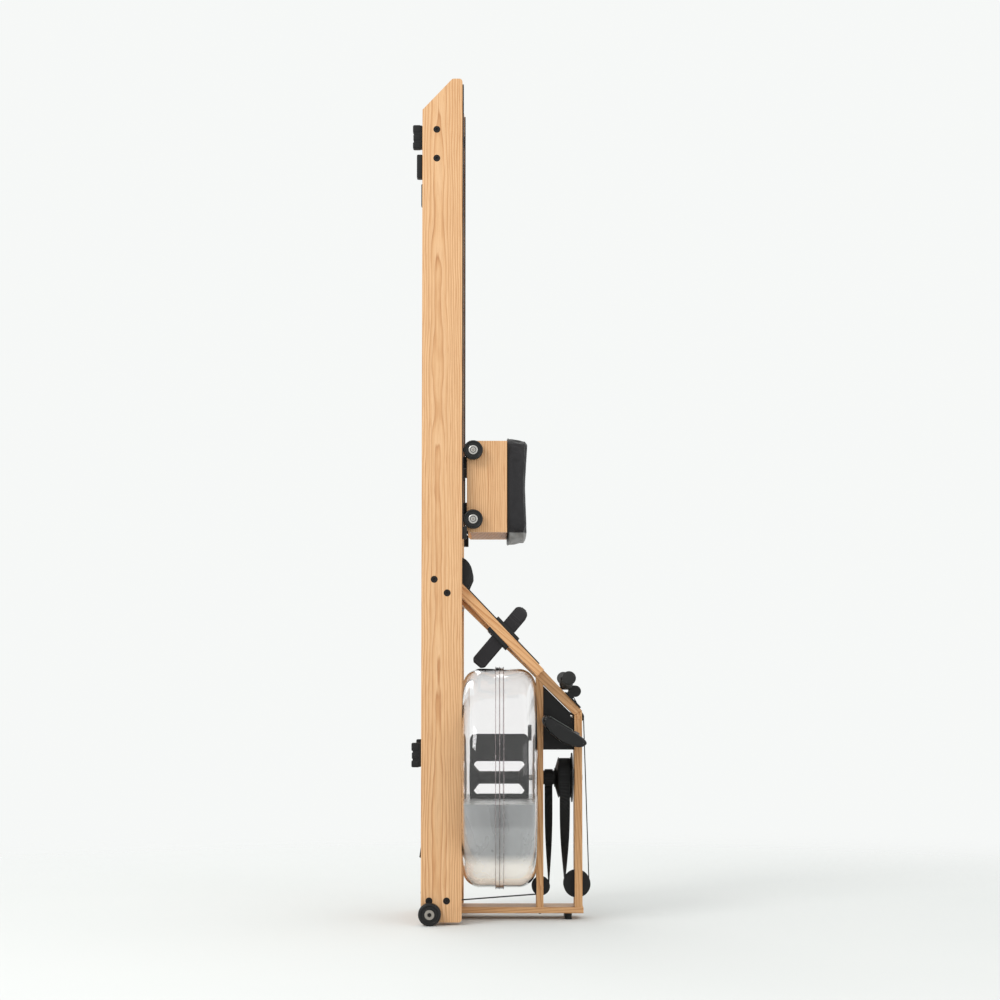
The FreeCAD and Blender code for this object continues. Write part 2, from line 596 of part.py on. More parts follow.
def make_drum():
    """Drive drum and the smaller recoil drum in one moulding, free to overrun the shaft one way."""
    bore = "shaft_radius + run_gap"
    outline = [(bore, "recoil_middle - drum_half - drum_lip")]
    for middle, radius, flange in (("recoil_middle", "recoil_radius", "recoil_flange"),
                                   ("drum_middle", "drum_radius", "drum_flange")):
        outline += [
            (flange, f"{middle} - drum_half - drum_lip"), (flange, f"{middle} - drum_half"),
            (radius, f"{middle} - drum_half"), (radius, f"{middle} + drum_half"),
            (flange, f"{middle} + drum_half"), (flange, f"{middle} + drum_half + drum_lip"),
        ]
    outline.append((bore, "drum_middle + drum_half + drum_lip"))
    keep(turned(outline, X_AXIS, TANK_PLACE), "drive_drum")
    keep(turned(((bore, "sensor_low"), ("sensor_radius", "sensor_low"), ("sensor_radius", "sensor_high"),
                 (bore, "sensor_high")), X_AXIS, TANK_PLACE), "sensor_disc")


# ---------------------------------------------------------------- pulleys and axles

def pulley(name, place, groove, flange, bore, half="pulley_half", groove_side="groove_half"):
    outline = ((f"{bore} + run_gap", f"-{half}"), (flange, f"-{half}"), (flange, f"-{groove_side}"),
               (groove, f"-{groove_side}"), (groove, groove_side), (flange, groove_side),
               (flange, half), (f"{bore} + run_gap", half))
    return keep(turned(outline, Y_AXIS, place), name)


def make_pulleys():
    pulley("drive_pulley", (drive_out(), "0", "drive_up"), "drive_groove", "drive_flange", "drive_axle")
    pulley("recoil_pulley", ("rail_top + small_out", "0", "small_up"),
           "small_groove", "small_flange", "small_axle")
    pulley("strap_guide_roller", ("rail_top + guide_out", "0", "guide_up"),
           "guide_groove", "guide_flange", "guide_axle")
    pulley("bungee_pulley", ("rail_top - cord_pulley_deep", "0", "cord_pulley_up"),
           "cord_groove", "cord_flange", "small_axle", "cord_pulley_half", "cord_groove_half")
    axles = [
        rod("drive_axle", (drive_out(), "-frame_outer", "drive_up"), Y_AXIS, "frame_outer * 2"),
        rod("small_axle", ("rail_top + small_out", "-frame_outer", "small_up"), Y_AXIS, "frame_outer * 2"),
        rod("guide_axle", ("rail_top + guide_out", "-frame_outer", "guide_up"), Y_AXIS, "frame_outer * 2"),
        rod("small_axle", ("rail_top - cord_pulley_deep", "-30", "cord_pulley_up"), Y_AXIS, "60"),
    ]
    keep(group(*axles), "pulley_axles")


# ---------------------------------------------------------------- straps and cord

def flat(start, end, width, thick):
    """A straight run of strap in the plane Y = 0, its width along Y."""
    along = (end - start).normalize()
    side = Vector(along.z, 0, -along.x) * (thick / 2)
    corners = [start - side, end - side, end + side, start + side]
    face = Part.Face(Part.makePolygon([c - Y_AXIS * (width / 2) for c in corners + corners[:1]]))
    return face.extrude(Y_AXIS * width)


def bend(centre, radius, first, last, width, thick):
    """A run of strap round a pulley, from one angle to another in degrees, 0 along +X, 90 along +Z."""
    def at(reach, angle):
        turn = math.radians(angle)
        return centre + Vector(reach * math.cos(turn), -width / 2, reach * math.sin(turn))
    middle = (first + last) / 2
    inner, outer = radius - thick / 2, radius + thick / 2
    edges = [
        Part.Arc(at(inner, first), at(inner, middle), at(inner, last)).toShape(),
        Part.LineSegment(at(inner, last), at(outer, last)).toShape(),
        Part.Arc(at(outer, last), at(outer, middle), at(outer, first)).toShape(),
        Part.LineSegment(at(outer, first), at(inner, first)).toShape(),
    ]
    return Part.Face(Part.Wire(edges)).extrude(Y_AXIS * width)


def twist(start, end, width, thick, turns=9):
    """A run of strap that turns a quarter, from its width along Y at the start to along X at the end.

    Most of the turn is near the start, where the strap leaves a small pulley.
    """
    along = (end - start).normalize()
    sections = []
    for step in range(turns + 1):
        share = step / turns
        spin = FreeCAD.Rotation(along, 90 * math.sin(math.pi / 2 * share ** 1.15))
        flat_way = spin.multVec(Y_AXIS - along * Y_AXIS.dot(along)).normalize() * (width / 2)
        thin_way = along.cross(flat_way).normalize() * (thick / 2)
        middle = start + (end - start) * share
        ring = [middle + flat_way + thin_way, middle - flat_way + thin_way,
                middle - flat_way - thin_way, middle + flat_way - thin_way]
        sections.append(Part.makePolygon(ring + ring[:1]))
    return Part.makeLoft(sections, True, True)


def winding(middle, inner, thick, width):
    """The turns of strap that lie on a drum."""
    base = Vector(number(f"rail_top + {middle}") - width / 2, 0, number("tank_up"))
    outer_turn = Part.makeCylinder(inner + thick, width, base, X_AXIS)
    return outer_turn.cut(Part.makeCylinder(inner, width, base, X_AXIS))


def drum_touch(middle, start_up, radius, side):
    """Where a run that rises from a pulley meets the turns on a drum, side +1 or -1 in Y."""
    centre_up = number("tank_up")
    lean = math.asin(radius / (centre_up - start_up))
    return Vector(number(f"rail_top + {middle}"), side * radius * math.cos(lean),
                  centre_up - radius * math.sin(lean))


def point_on(centre, radius, angle):
    """The point at an angle in degrees on a circle in the plane Y = 0, 0 along +X, 90 along +Z."""
    turn = math.radians(angle)
    return centre + Vector(radius * math.cos(turn), 0, radius * math.sin(turn))


def shared_tangent(one, one_radius, other, other_radius, side):
    """The angle at which a strap leaves both pulleys, on the left (+1) or right (-1) of one to other."""
    reach = other - one
    away = math.acos((one_radius - other_radius) / reach.Length)
    return math.degrees(math.atan2(reach.z, reach.x) + side * away)


def middle_of(groove):
    """The radius of a strap's middle line as it lies in a groove."""
    return number(f"{groove} + strap_gap + web_thick / 2")


def make_drive_strap():
    width, thick = number("web_wide"), number("web_thick")
    low = Vector(number(drive_out()), 0, number("drive_up"))
    top = Vector(number("rail_top + guide_out"), 0, number("guide_up"))
    low_radius, top_radius = middle_of("drive_groove"), middle_of("guide_groove")
    leave = shared_tangent(low, low_radius, top, top_radius, -1)
    wound = number("drum_radius + strap_gap")
    touch = drum_touch("drum_middle", low.z, wound + number("web_wound") / 2, -1)
    parts = [
        bend(top, top_radius, lead_turn(), leave, width, thick),
        flat(point_on(top, top_radius, leave), point_on(low, low_radius, leave), width, thick),
        bend(low, low_radius, leave, -180, width, thick),
        twist(point_on(low, low_radius, 180), touch, width, thick),
        winding("drum_middle", wound, number("web_wound"), width),
    ]
    feature("drive_strap", parts[0].multiFuse(parts[1:]).removeSplitter())


def lead_turn():
    """The angle on the guide roller where the strap leaves it towards the handle."""
    centre = Vector(number("rail_top + guide_out"), 0, number("guide_up"))
    handle = Vector(number("rail_top + handle_out"), 0, number("handle_up"))
    reach = handle - centre
    return math.degrees(math.atan2(reach.z, reach.x) - math.acos(middle_of("guide_groove") / reach.Length))


def make_strap_lead():
    """The stretch between the guide roller and the handle, which grows as the handle is pulled."""
    centre = Vector(number("rail_top + guide_out"), 0, number("guide_up"))
    start = point_on(centre, middle_of("guide_groove"), lead_turn())
    handle = Vector(number("rail_top + handle_out"), 0, number("handle_up"))
    back = (start - handle).normalize() * number("bar_radius + 3")
    feature("strap_lead", flat(start, handle + back, number("web_wide"), number("web_thick")))


def make_recoil_strap():
    width, thick = number("recoil_wide"), number("web_thick")
    first = Vector(number("rail_top + small_out"), 0, number("small_up"))
    second = Vector(number("rail_top - cord_pulley_deep"), 0, number("cord_pulley_up"))
    radius, last_radius = middle_of("small_groove"), middle_of("cord_groove")
    leave = shared_tangent(first, radius, second, last_radius, 1) - 360
    wound = number("recoil_radius + strap_gap")
    touch = drum_touch("recoil_middle", first.z, wound + number("web_wound") / 2, 1)
    end = point_on(second, last_radius, 180)
    parts = [
        winding("recoil_middle", wound, number("web_wound"), width),
        twist(point_on(first, radius, 0), touch, width, thick),
        bend(first, radius, 0, leave, width, thick),
        flat(point_on(first, radius, leave), point_on(second, last_radius, leave), width, thick),
        bend(second, last_radius, leave, -180, width, thick),
        flat(end, Vector(end.x, 0, number("cord_low")), width, thick),
    ]
    feature("recoil_strap", parts[0].multiFuse(parts[1:]).removeSplitter())


def make_bungee():
    """The elastic cord from the recoil strap to an eye under the footboard."""
    end_out, end_up = slope_point("cross_end + 20", "-foot_bolt_deep")
    eye = Vector(number(f"rail_top + {end_out}"), 0, number(end_up))
    low = Vector(number("rail_top - cord_pulley_deep - cord_groove - strap_gap - web_thick / 2"), 0,
                 number("cord_low"))
    along = (eye - low).normalize()
    reach = (eye - low).Length - number("ring_radius + ring_wire + 1")
    cord = Part.makeCylinder(number("cord_radius"), reach, low, along)
    sleeves = [Part.makeCylinder(number("cord_sleeve"), 30, low + along * place, along)
               for place in (0, reach - 30)]
    feature("bungee_cord", cord.multiFuse(sleeves))
    slope_way = FreeCAD.Rotation(Y_AXIS, number("slope")).multVec(X_AXIS)
    ring = Part.makeTorus(number("ring_radius"), number("ring_wire"), eye, Y_AXIS)
    shank = Part.makeCylinder(2.9, 34, eye - slope_way * (number("ring_radius") + 34), slope_way)
    feature("cord_eye", ring.fuse(shank))


# ---------------------------------------------------------------- handle and its rest

def make_handle():
    place = ("rail_top + handle_out", "-bar_half", "handle_up")
    bar = rod("bar_radius", place, Y_AXIS, "bar_half * 2")
    clip = box(("rail_top + handle_out - 15", "-clip_half", "handle_up - 16"), ("30", "clip_half * 2", "32"))
    slot = box(("rail_top + handle_out - 20", "-clip_half + 2", "handle_up - 24"),
               ("60", "clip_half * 2 - 4", "11"))
    tilted = FreeCAD.Rotation(X_AXIS, -SIZES["grip_droop"]).multVec(Vector(0, -1, 0))
    spigot_place = ("rail_top + handle_out", "-bar_half + 4", "handle_up")
    spigot = rod("spigot_radius", spigot_place, tilted, "spigot_long")
    tip = doc.addObject("Part::Cone", "grip")
    bind(tip, Radius1="grip_radius - 2", Radius2="grip_radius", Height="grip_long")
    tip.Placement = FreeCAD.Placement(Vector(), FreeCAD.Rotation(Z_AXIS, tilted))
    move_to(tip, "rail_top + handle_out", "-bar_half - 2", "handle_up")
    hole = rod("spigot_radius", spigot_place, tilted, "spigot_long")
    keep(join(bar, cut(clip, slot), spigot, mirrored(spigot)), "handle_bar")
    keep(pair(cut(tip, hole)), "handle_grips")


def make_handle_rest():
    base = box(("rest_start", "-peg_out", "0"),
               ("rest_end - rest_start", "peg_out - frame_inner", "rest_thick"))
    ear = box(("peg_along - 9", "-peg_out", "rest_thick"), ("18", "7", "peg_rise - rest_thick"))
    peg = rod("peg_radius", ("peg_along", "-peg_out", "peg_rise"), Y_AXIS, "peg_out - peg_in")
    keep(pair(on_slope(join(base, ear, peg))), "handle_rest")


# ---------------------------------------------------------------- side plates and monitor

def make_side_plates():
    low_x, high_x = "rail_top + deck_low + 4", "rail_top + deck_high + 8"
    corner_out, corner_up = slope_point("beam_tip_in - 16", "-beam_tip_deep - 3")
    top_out, top_up = slope_point("300", "-beam_tip_deep - 6")
    outline = ((low_x, "side_plate_low"), (high_x, "side_plate_low"), (high_x, "deck_inner_up - 4"),
               (f"rail_top + {corner_out}", corner_up), (f"rail_top + {top_out}", top_up),
               (low_x, f"{top_up} - 12"))
    plate = plank(outline, "-frame_inner", "-frame_inner + side_plate_thick")
    keep(pair(plate), "side_plates")


def on_monitor(piece):
    piece.Placement = FreeCAD.Placement(Vector(), FreeCAD.Rotation(Y_AXIS, SIZES["monitor_tilt"]))
    piece.setExpression("Placement.Rotation.Angle", bound("monitor_tilt"))
    move_to(piece, "rail_top + monitor_out", 0, "monitor_up")
    return piece


def make_monitor():
    """A wedge-shaped display that tilts on a stub fixed to the right side plate."""
    near, far = "-monitor_side - monitor_half", "-monitor_side + monitor_half"
    outline = (("3", "-2"), ("108", "-2"), ("127", "-8"), ("127", "-20"), ("106", "-36"),
               ("75", "-41"), ("40", "-36"), ("10", "-27"), ("2", "-18"))
    body = plank(outline, near, far)
    pivot = rod("pivot_radius + run_gap", ("pivot_along", f"{far} - 20", "-pivot_deep"), Y_AXIS, "30")
    glass_seat = box(("14", f"{near} + 7", "-4"), ("66", "monitor_half * 2 - 14", "10"))
    wells = [rod("button_radius + 0.4", ("94", f"-monitor_side + {side}", "-6"), Z_AXIS, "10")
             for side in BUTTON_SIDES]
    keep(on_monitor(cut(body, pivot, glass_seat, *wells)), "monitor_case")
    glass = box(("14.2", f"{near} + 7.2", "-4"), ("65.6", "monitor_half * 2 - 14.4", "2.6"))
    keep(on_monitor(group(glass)), "monitor_screen")
    for name, side in zip(("monitor_button_left", "monitor_button_right"), BUTTON_SIDES):
        cap = rod("button_radius", ("94", f"-monitor_side + {side}", "-4.5"), Z_AXIS,
                  "2.5 + button_high")
        keep(on_monitor(group(cap)), name)
    stub = rod("pivot_radius", ("pivot_along", f"{far} - 18", "-pivot_deep"), Y_AXIS,
               "monitor_side - monitor_half + 18 - frame_inner")
    keep(on_monitor(group(stub)), "monitor_bracket")


# ---------------------------------------------------------------- seat

def make_seat():
    side_x = "rail_top + seat_bottom"
    outline = ((side_x, "seat_low + 6"), (f"{side_x} + 6", "seat_low"),
               ("rail_top + cushion_base", "seat_low"), ("rail_top + cushion_base", "seat_high"),
               (f"{side_x} + 6", "seat_high"), (side_x, "seat_high - 6"))
    side = plank(outline, "-seat_outer", "-seat_outer + seat_board")
    holes = [rod("seat_bolt", (seat_wheel_x(), "-seat_outer - 5", up), Y_AXIS, "60") for up in SEAT_WHEELS]
    keep(pair(cut(side, *holes)), "seat_sides")
    inner = "seat_outer - seat_board"
    cross = [box(("rail_top + seat_bottom + 8", f"-({inner})", low),
                 ("cushion_base - seat_bottom - 8", f"({inner}) * 2", "seat_board"))
             for low in ("seat_low", "seat_high - seat_board")]
    keep(group(*cross), "seat_cross_boards")
    cushion = box(("rail_top + cushion_base", "-seat_outer", "cushion_low"),
                  ("cushion_top - cushion_base", "seat_outer * 2", "cushion_high - cushion_low"))
    doc.recompute()
    edges = [i + 1 for i, edge in enumerate(cushion.Shape.Edges) if edge.BoundBox.XLength > 1]
    soft = doc.addObject("Part::Fillet", "cushion")
    soft.Base = cushion
    soft.Edges = [(edge, SIZES["cushion_round"], SIZES["cushion_round"]) for edge in edges]
    keep(soft, "seat_cushion")


def seat_wheel_x():
    return "rail_top + seat_wheel_out"


def make_seat_wheels():
    bore = "seat_bolt + run_gap"
    outline = ((bore, "0"), ("11", "0"), ("11", "2"), ("seat_wheel_radius - 5", "2"),
               ("seat_wheel_radius - 4", "0"), ("seat_wheel_radius - 2", "0"), ("seat_wheel_radius", "2"),
               ("seat_wheel_radius", "seat_wheel_wide - 2"), ("seat_wheel_radius - 2", "seat_wheel_wide"),
               (bore, "seat_wheel_wide"))
    bolts = []
    for place, up in zip(("front", "rear"), SEAT_WHEELS):
        start = (seat_wheel_x(), "-seat_wheel_in - seat_wheel_wide", up)
        wheel = turned(outline, Y_AXIS, start)
        keep(wheel, f"seat_wheel_{place}_right")
        keep(mirrored(wheel), f"seat_wheel_{place}_left")
        outer = "-seat_wheel_in - seat_wheel_wide - 0.3"
        shank = rod("seat_bolt", (seat_wheel_x(), outer, up), Y_AXIS,
                    "seat_wheel_in + seat_wheel_wide - seat_outer + seat_board + 8")
        head = rod("8", (seat_wheel_x(), f"{outer} - 3", up), Y_AXIS, "3")
        washer = rod("8", (seat_wheel_x(), "-seat_wheel_in + 0.3", up), Y_AXIS,
                     "seat_wheel_in - seat_outer - 0.3")
        nut = rod("6.5", (seat_wheel_x(), "-seat_outer + seat_board", up), Y_AXIS, "6")
        bolts.append(join(shank, head, washer, nut))
    keep(group(*bolts, *[mirrored(bolt) for bolt in bolts]), "seat_axles")


def make_seat_guides():
    """Hooks inside the seat whose tongues run under the tracks' overhang and hold the seat on."""
    hooks = []
    inner = "seat_outer - seat_board"
    for low in ("guide_low", "guide_high"):
        leg = box(("rail_top - 2 - tongue_thick", f"-({inner})", low),
                  ("seat_bottom + 44", "guide_leg", "guide_long"))
        tongue = box(("rail_top - 2 - tongue_thick", "-rail_inner + 2", low),
                     ("tongue_thick", f"rail_inner - 2 - ({inner})", "guide_long"))
        hooks.append(join(leg, tongue))
    keep(group(*hooks, *[mirrored(hook) for hook in hooks]), "seat_guides")


# ---------------------------------------------------------------- build, check and write

def build():
    for make in (make_rails, make_bolts, make_spacers, make_tracks, make_floor_pads, make_transport_wheels,
                 make_frame, make_footboard, make_foot_plates, make_toe_straps, make_heel_cups, make_tank,
                 make_water, make_fill_plug, make_paddle, make_bearings, make_drum, make_pulleys,
                 make_drive_strap, make_strap_lead, make_recoil_strap, make_bungee, make_handle,
                 make_handle_rest, make_side_plates, make_monitor, make_seat, make_seat_wheels,
                 make_seat_guides):
        make()
    doc.recompute()


def check():
    for thing in doc.Objects:
        if {"Invalid", "Error"} & set(thing.State):
            raise RuntimeError(f"{thing.Name} ({thing.Label}) failed: {thing.State}")
    for name, piece in nodes.items():
        shape = piece.Shape
        if shape.isNull() or not shape.isValid() or not shape.Solids:
            raise RuntimeError(f"{name} is not a valid solid")


def write():
    os.makedirs("parts", exist_ok=True)
    for name, piece in nodes.items():
        piece.Shape.exportStep(f"parts/{name}.step")


build()
check()
write()
print(len(nodes), "sub-parts")
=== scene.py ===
"""Looks of a water-resistance rowing machine that stands on its front end.

Everything is in metres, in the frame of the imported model: +Z up along the rails, +X the side that
faces up in use, -Y the near side. The floor is Z = 0.
"""
import json
import math

import bmesh
import bpy
from mathutils import Matrix, Vector


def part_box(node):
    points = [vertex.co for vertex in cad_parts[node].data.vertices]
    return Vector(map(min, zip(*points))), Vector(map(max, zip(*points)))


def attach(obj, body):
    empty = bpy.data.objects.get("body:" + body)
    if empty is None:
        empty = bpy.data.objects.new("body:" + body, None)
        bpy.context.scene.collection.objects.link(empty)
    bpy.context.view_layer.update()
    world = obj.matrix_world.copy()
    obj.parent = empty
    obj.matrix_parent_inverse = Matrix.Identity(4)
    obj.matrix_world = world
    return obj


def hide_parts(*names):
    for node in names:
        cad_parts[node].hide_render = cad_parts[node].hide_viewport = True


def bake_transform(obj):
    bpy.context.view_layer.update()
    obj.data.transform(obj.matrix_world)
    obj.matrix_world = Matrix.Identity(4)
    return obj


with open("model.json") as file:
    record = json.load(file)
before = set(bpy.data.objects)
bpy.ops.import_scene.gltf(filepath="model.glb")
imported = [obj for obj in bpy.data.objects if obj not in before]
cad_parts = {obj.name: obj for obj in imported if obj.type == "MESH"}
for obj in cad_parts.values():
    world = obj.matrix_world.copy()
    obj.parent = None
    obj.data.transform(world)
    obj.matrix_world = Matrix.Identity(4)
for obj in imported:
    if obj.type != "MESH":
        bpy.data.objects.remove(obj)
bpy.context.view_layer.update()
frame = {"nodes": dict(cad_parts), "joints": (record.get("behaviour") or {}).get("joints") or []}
nodes = frame["nodes"]
joints = {joint["name"]: joint for joint in frame["joints"]}

MM = 0.001
X_AXIS, Y_AXIS, Z_AXIS = Vector((1, 0, 0)), Vector((0, 1, 0)), Vector((0, 0, 1))
SIDES = (("right", -1), ("left", 1))    # each side's name, and its way along Y

# the footboard's slope: along it towards the deck, square out of it, and where it starts on the rails
ALONG = Vector(joints["heel_cup_right_slide"]["axis"]).normalized()
RISE = Vector((-ALONG.z, 0, ALONG.x))
SLOPE_PROUD, SLOPE_UP = 6.7 * MM, 830 * MM
SLOPE_START = Vector((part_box("rail_right")[1].x + SLOPE_PROUD, 0, SLOPE_UP))
FOOT_OUT = 101 * MM            # from the middle of the machine to the middle of each foot
TOE_STRAP_ALONG = 149 * MM     # from the slope's start to the toe straps
MONITOR_TILT = math.radians(30.9)
GRIP_DROOP = math.radians(4.6)


# ---------------------------------------------------------------- materials

STRIPES = 0.314    # the wave texture's scale that gives bands one unit apart


def add_node(tree, kind, values=None, **settings):
    """A new node; a value that is a socket is linked, any other is set."""
    made = tree.nodes.new("ShaderNode" + kind)
    for name, setting in settings.items():
        setattr(made, name, setting)
    for name, value in (values or {}).items():
        if isinstance(value, bpy.types.NodeSocket):
            tree.links.new(value, made.inputs[name])
        else:
            made.inputs[name].default_value = value
    return made


def new_material(name, **values):
    material = bpy.data.materials.new(name)
    material.use_nodes = True
    shader = material.node_tree.nodes["Principled BSDF"]
    for key, value in values.items():
        shader.inputs[key.replace("_", " ")].default_value = value
    return material, material.node_tree, shader


def coordinates(tree, scale=(1, 1, 1), turn=(0, 0, 0), shift=(0, 0, 0)):
    """The surface point in the model's frame, turned and shifted, then stretched by scale."""
    place = add_node(tree, "TexCoord").outputs["Object"]
    turned = add_node(tree, "Mapping", {"Vector": place, "Rotation": turn, "Location": shift})
    return add_node(tree, "VectorMath", {0: turned.outputs[0], 1: scale}, operation="MULTIPLY").outputs[0]


def noise(tree, vector, scale=1.0, detail=2.0, roughness=0.5, distortion=0.0):
    made = add_node(tree, "TexNoise", {"Vector": vector, "Scale": scale, "Detail": detail,
                                       "Roughness": roughness, "Distortion": distortion})
    return made.outputs[0]


def ramp(tree, factor, *stops):
    """A colour ramp through (place, colour) stops."""
    made = add_node(tree, "ValToRGB", {"Fac": factor})
    band = made.color_ramp
    while len(band.elements) < len(stops):
        band.elements.new(0.5)
    for element, (place, colour) in zip(band.elements, stops):
        element.position = place
        element.color = colour if len(colour) == 4 else (*colour, 1)
    return made.outputs[0]


def mix(tree, factor, first, second, blend="MIX"):
    made = add_node(tree, "Mix", data_type="RGBA", blend_type=blend)
    for index, value in ((0, factor), (6, first), (7, second)):
        if isinstance(value, bpy.types.NodeSocket):
            tree.links.new(value, made.inputs[index])
        else:
            made.inputs[index].default_value = value if index == 0 else (*value[:3], 1)
    return made.outputs[2]


def stretch(tree, value, low, high):
    """A 0 to 1 value moved to the range from low to high."""
    return add_node(tree, "MapRange", {"Value": value, "To Min": low, "To Max": high}).outputs[0]


def bump(tree, height, distance, strength=1.0, under=None):
    values = {"Height": height, "Distance": distance, "Strength": strength}
    if under:
        values["Normal"] = under
    return add_node(tree, "Bump", values).outputs[0]


def year_rings(tree, vector, apart, climb):
    """Growth rings about the vector's Z axis; climb, in radians per unit of it, makes them cones."""
    along = add_node(tree, "SeparateXYZ", {0: vector}).outputs[2]
    phase = add_node(tree, "Math", {0: along, 1: climb}, operation="MULTIPLY").outputs[0]
    return add_node(tree, "TexWave", {"Vector": vector, "Scale": STRIPES / apart, "Distortion": 8.5,
                                      "Detail": 2.0, "Detail Scale": 0.45, "Phase Offset": phase},
                    wave_type="RINGS", rings_direction="Z", wave_profile="SAW").outputs["Fac"]


def bands(tree, vector, scale, direction, distortion=0.0, profile="SIN", warp=1.5):
    """Stripes across a direction; warp is how fine their waves are."""
    return add_node(tree, "TexWave", {"Vector": vector, "Scale": scale, "Distortion": distortion,
                                      "Detail": 2.0, "Detail Scale": warp},
                    bands_direction=direction, wave_profile=profile).outputs["Fac"]


def oak(name, turn, tone=(1.0, 1.0, 1.0), seed=0.0, heart=None, shine=0.06):
    """Light oiled oak; turn brings the board's length to the grain's own Z.

    heart is where the tree's middle runs, as (x, y) in metres; without it the rings are far off and straight.
    """
    material, tree, shader = new_material(name, Coat_Weight=shine, Coat_Roughness=0.3,
                                          Specular_IOR_Level=0.15 + 2 * shine)
    shift = (seed * 0.37, seed * 0.61, seed * 0.83)
    quick = coordinates(tree, (1, 1, 0.014), turn, shift)
    if heart:
        slow = coordinates(tree, (1, 1, 0.16), turn, (-heart[0], -heart[1], seed * 0.83))
        rings = year_rings(tree, slow, 0.0050, 70)
    else:
        slow = coordinates(tree, (1, 1, 0.075), turn, shift)
        rings = bands(tree, slow, 72, "DIAGONAL", 9, "SAW", 0.4)
    figure = ramp(tree, rings, (0.0, (0.75, 0.475, 0.262)), (0.55, (0.71, 0.425, 0.215)),
                  (0.80, (0.57, 0.285, 0.118)), (0.91, (0.43, 0.18, 0.062)), (1.0, (0.72, 0.44, 0.23)))
    cloud = noise(tree, coordinates(tree, (9, 9, 0.9), turn, shift), 1.0, 3)
    shaded = mix(tree, stretch(tree, cloud, -0.25, 0.6), figure, (0.78, 0.50, 0.275))
    fibre = noise(tree, quick, 520, 4, 0.7)
    dim = ramp(tree, fibre, (0.32, (0.70, 0.59, 0.48)), (0.62, (1, 1, 1)))
    lined = mix(tree, 0.5, shaded, dim, "MULTIPLY")
    pores = ramp(tree, noise(tree, quick, 850, 2, 0.6), (0.58, (1, 1, 1)), (0.70, (0.58, 0.36, 0.22)))
    pored = mix(tree, 0.65, lined, pores, "MULTIPLY")
    toned = mix(tree, 1.0, pored, tone, "MULTIPLY")
    tree.links.new(toned, shader.inputs["Base Color"])
    tree.links.new(stretch(tree, fibre, 0.36, 0.58), shader.inputs["Roughness"])
    tree.links.new(bump(tree, fibre, 0.0004, 0.5), shader.inputs["Normal"])
    return material


def moulded(name, colour, roughness, grain=1500, depth=0.00012, ribs=None, coat=0.0):
    """Moulded plastic or rubber with a fine texture; ribs is (direction, per metre, depth)."""
    material, tree, shader = new_material(name, Coat_Weight=coat, Coat_Roughness=0.12,
                                          Specular_IOR_Level=0.28)
    place = coordinates(tree)
    fine = noise(tree, place, grain, 3)
    wear = noise(tree, place, 34, 4)
    lighter = tuple(min(1, c * 1.8 + 0.003) for c in colour)
    tree.links.new(mix(tree, wear, colour, lighter), shader.inputs["Base Color"])
    tree.links.new(stretch(tree, wear, roughness - 0.07, roughness + 0.1), shader.inputs["Roughness"])
    normal = bump(tree, fine, depth, 0.6)
    if ribs:
        direction, per_metre, rib_depth = ribs
        normal = bump(tree, bands(tree, place, per_metre, direction), rib_depth, 0.9, normal)
    tree.links.new(normal, shader.inputs["Normal"])
    return material


def metal(name, colour, roughness, along=(1, 1, 1), metallic=1.0):
    """Brushed or coated metal, brushed along the axis that has the small stretch."""
    material, tree, shader = new_material(name, Metallic=metallic, Specular_IOR_Level=0.3)
    brushed = noise(tree, coordinates(tree, along), 900, 3)
    dull = noise(tree, coordinates(tree), 60, 3)
    darker = tuple(c * 0.72 for c in colour)
    tree.links.new(mix(tree, dull, darker, colour), shader.inputs["Base Color"])
    tree.links.new(stretch(tree, brushed, roughness - 0.08, roughness + 0.12), shader.inputs["Roughness"])
    tree.links.new(bump(tree, brushed, 0.00005, 0.5), shader.inputs["Normal"])
    return material


def webbing(name, colour, along, across, pitch=0.0022):
    """Woven strap: ribs across its length, and the weave's cells along it."""
    material, tree, shader = new_material(name, Sheen_Weight=0.03, Sheen_Roughness=0.4,
                                          Specular_IOR_Level=0.2)
    place = coordinates(tree)
    rows = bands(tree, place, STRIPES / pitch, along)
    cells = bands(tree, place, STRIPES / pitch * 1.4, across)
    weave = mix(tree, 0.5, rows, cells)
    lighter = tuple(min(1, c * 2.6 + 0.01) for c in colour)
    tree.links.new(mix(tree, weave, colour, lighter), shader.inputs["Base Color"])
    tree.links.new(stretch(tree, noise(tree, place, 300), 0.6, 0.85), shader.inputs["Roughness"])
    tree.links.new(bump(tree, weave, 0.0004, 0.8), shader.inputs["Normal"])
    return material


def clear_plastic():
    material, tree, shader = new_material("clear_polycarbonate", Transmission_Weight=1.0, IOR=1.45)
    haze = noise(tree, coordinates(tree), 9, 3)
    tree.links.new(mix(tree, haze, (0.97, 0.955, 0.96), (1.0, 0.995, 0.995)), shader.inputs["Base Color"])
    tree.links.new(stretch(tree, haze, 0.005, 0.04), shader.inputs["Roughness"])
    tree.links.new(bump(tree, haze, 0.0004, 0.2), shader.inputs["Normal"])
    return material


def seam_look():
    """The pinkish edge of thick clear plastic, seen along the tank's flange."""
    material, tree, shader = new_material("tank_seam_look", Transmission_Weight=0.75, IOR=1.3)
    haze = noise(tree, coordinates(tree), 60, 3)
    tree.links.new(mix(tree, haze, (0.50, 0.42, 0.43), (0.66, 0.58, 0.59)), shader.inputs["Base Color"])
    tree.links.new(stretch(tree, haze, 0.15, 0.35), shader.inputs["Roughness"])
    return material


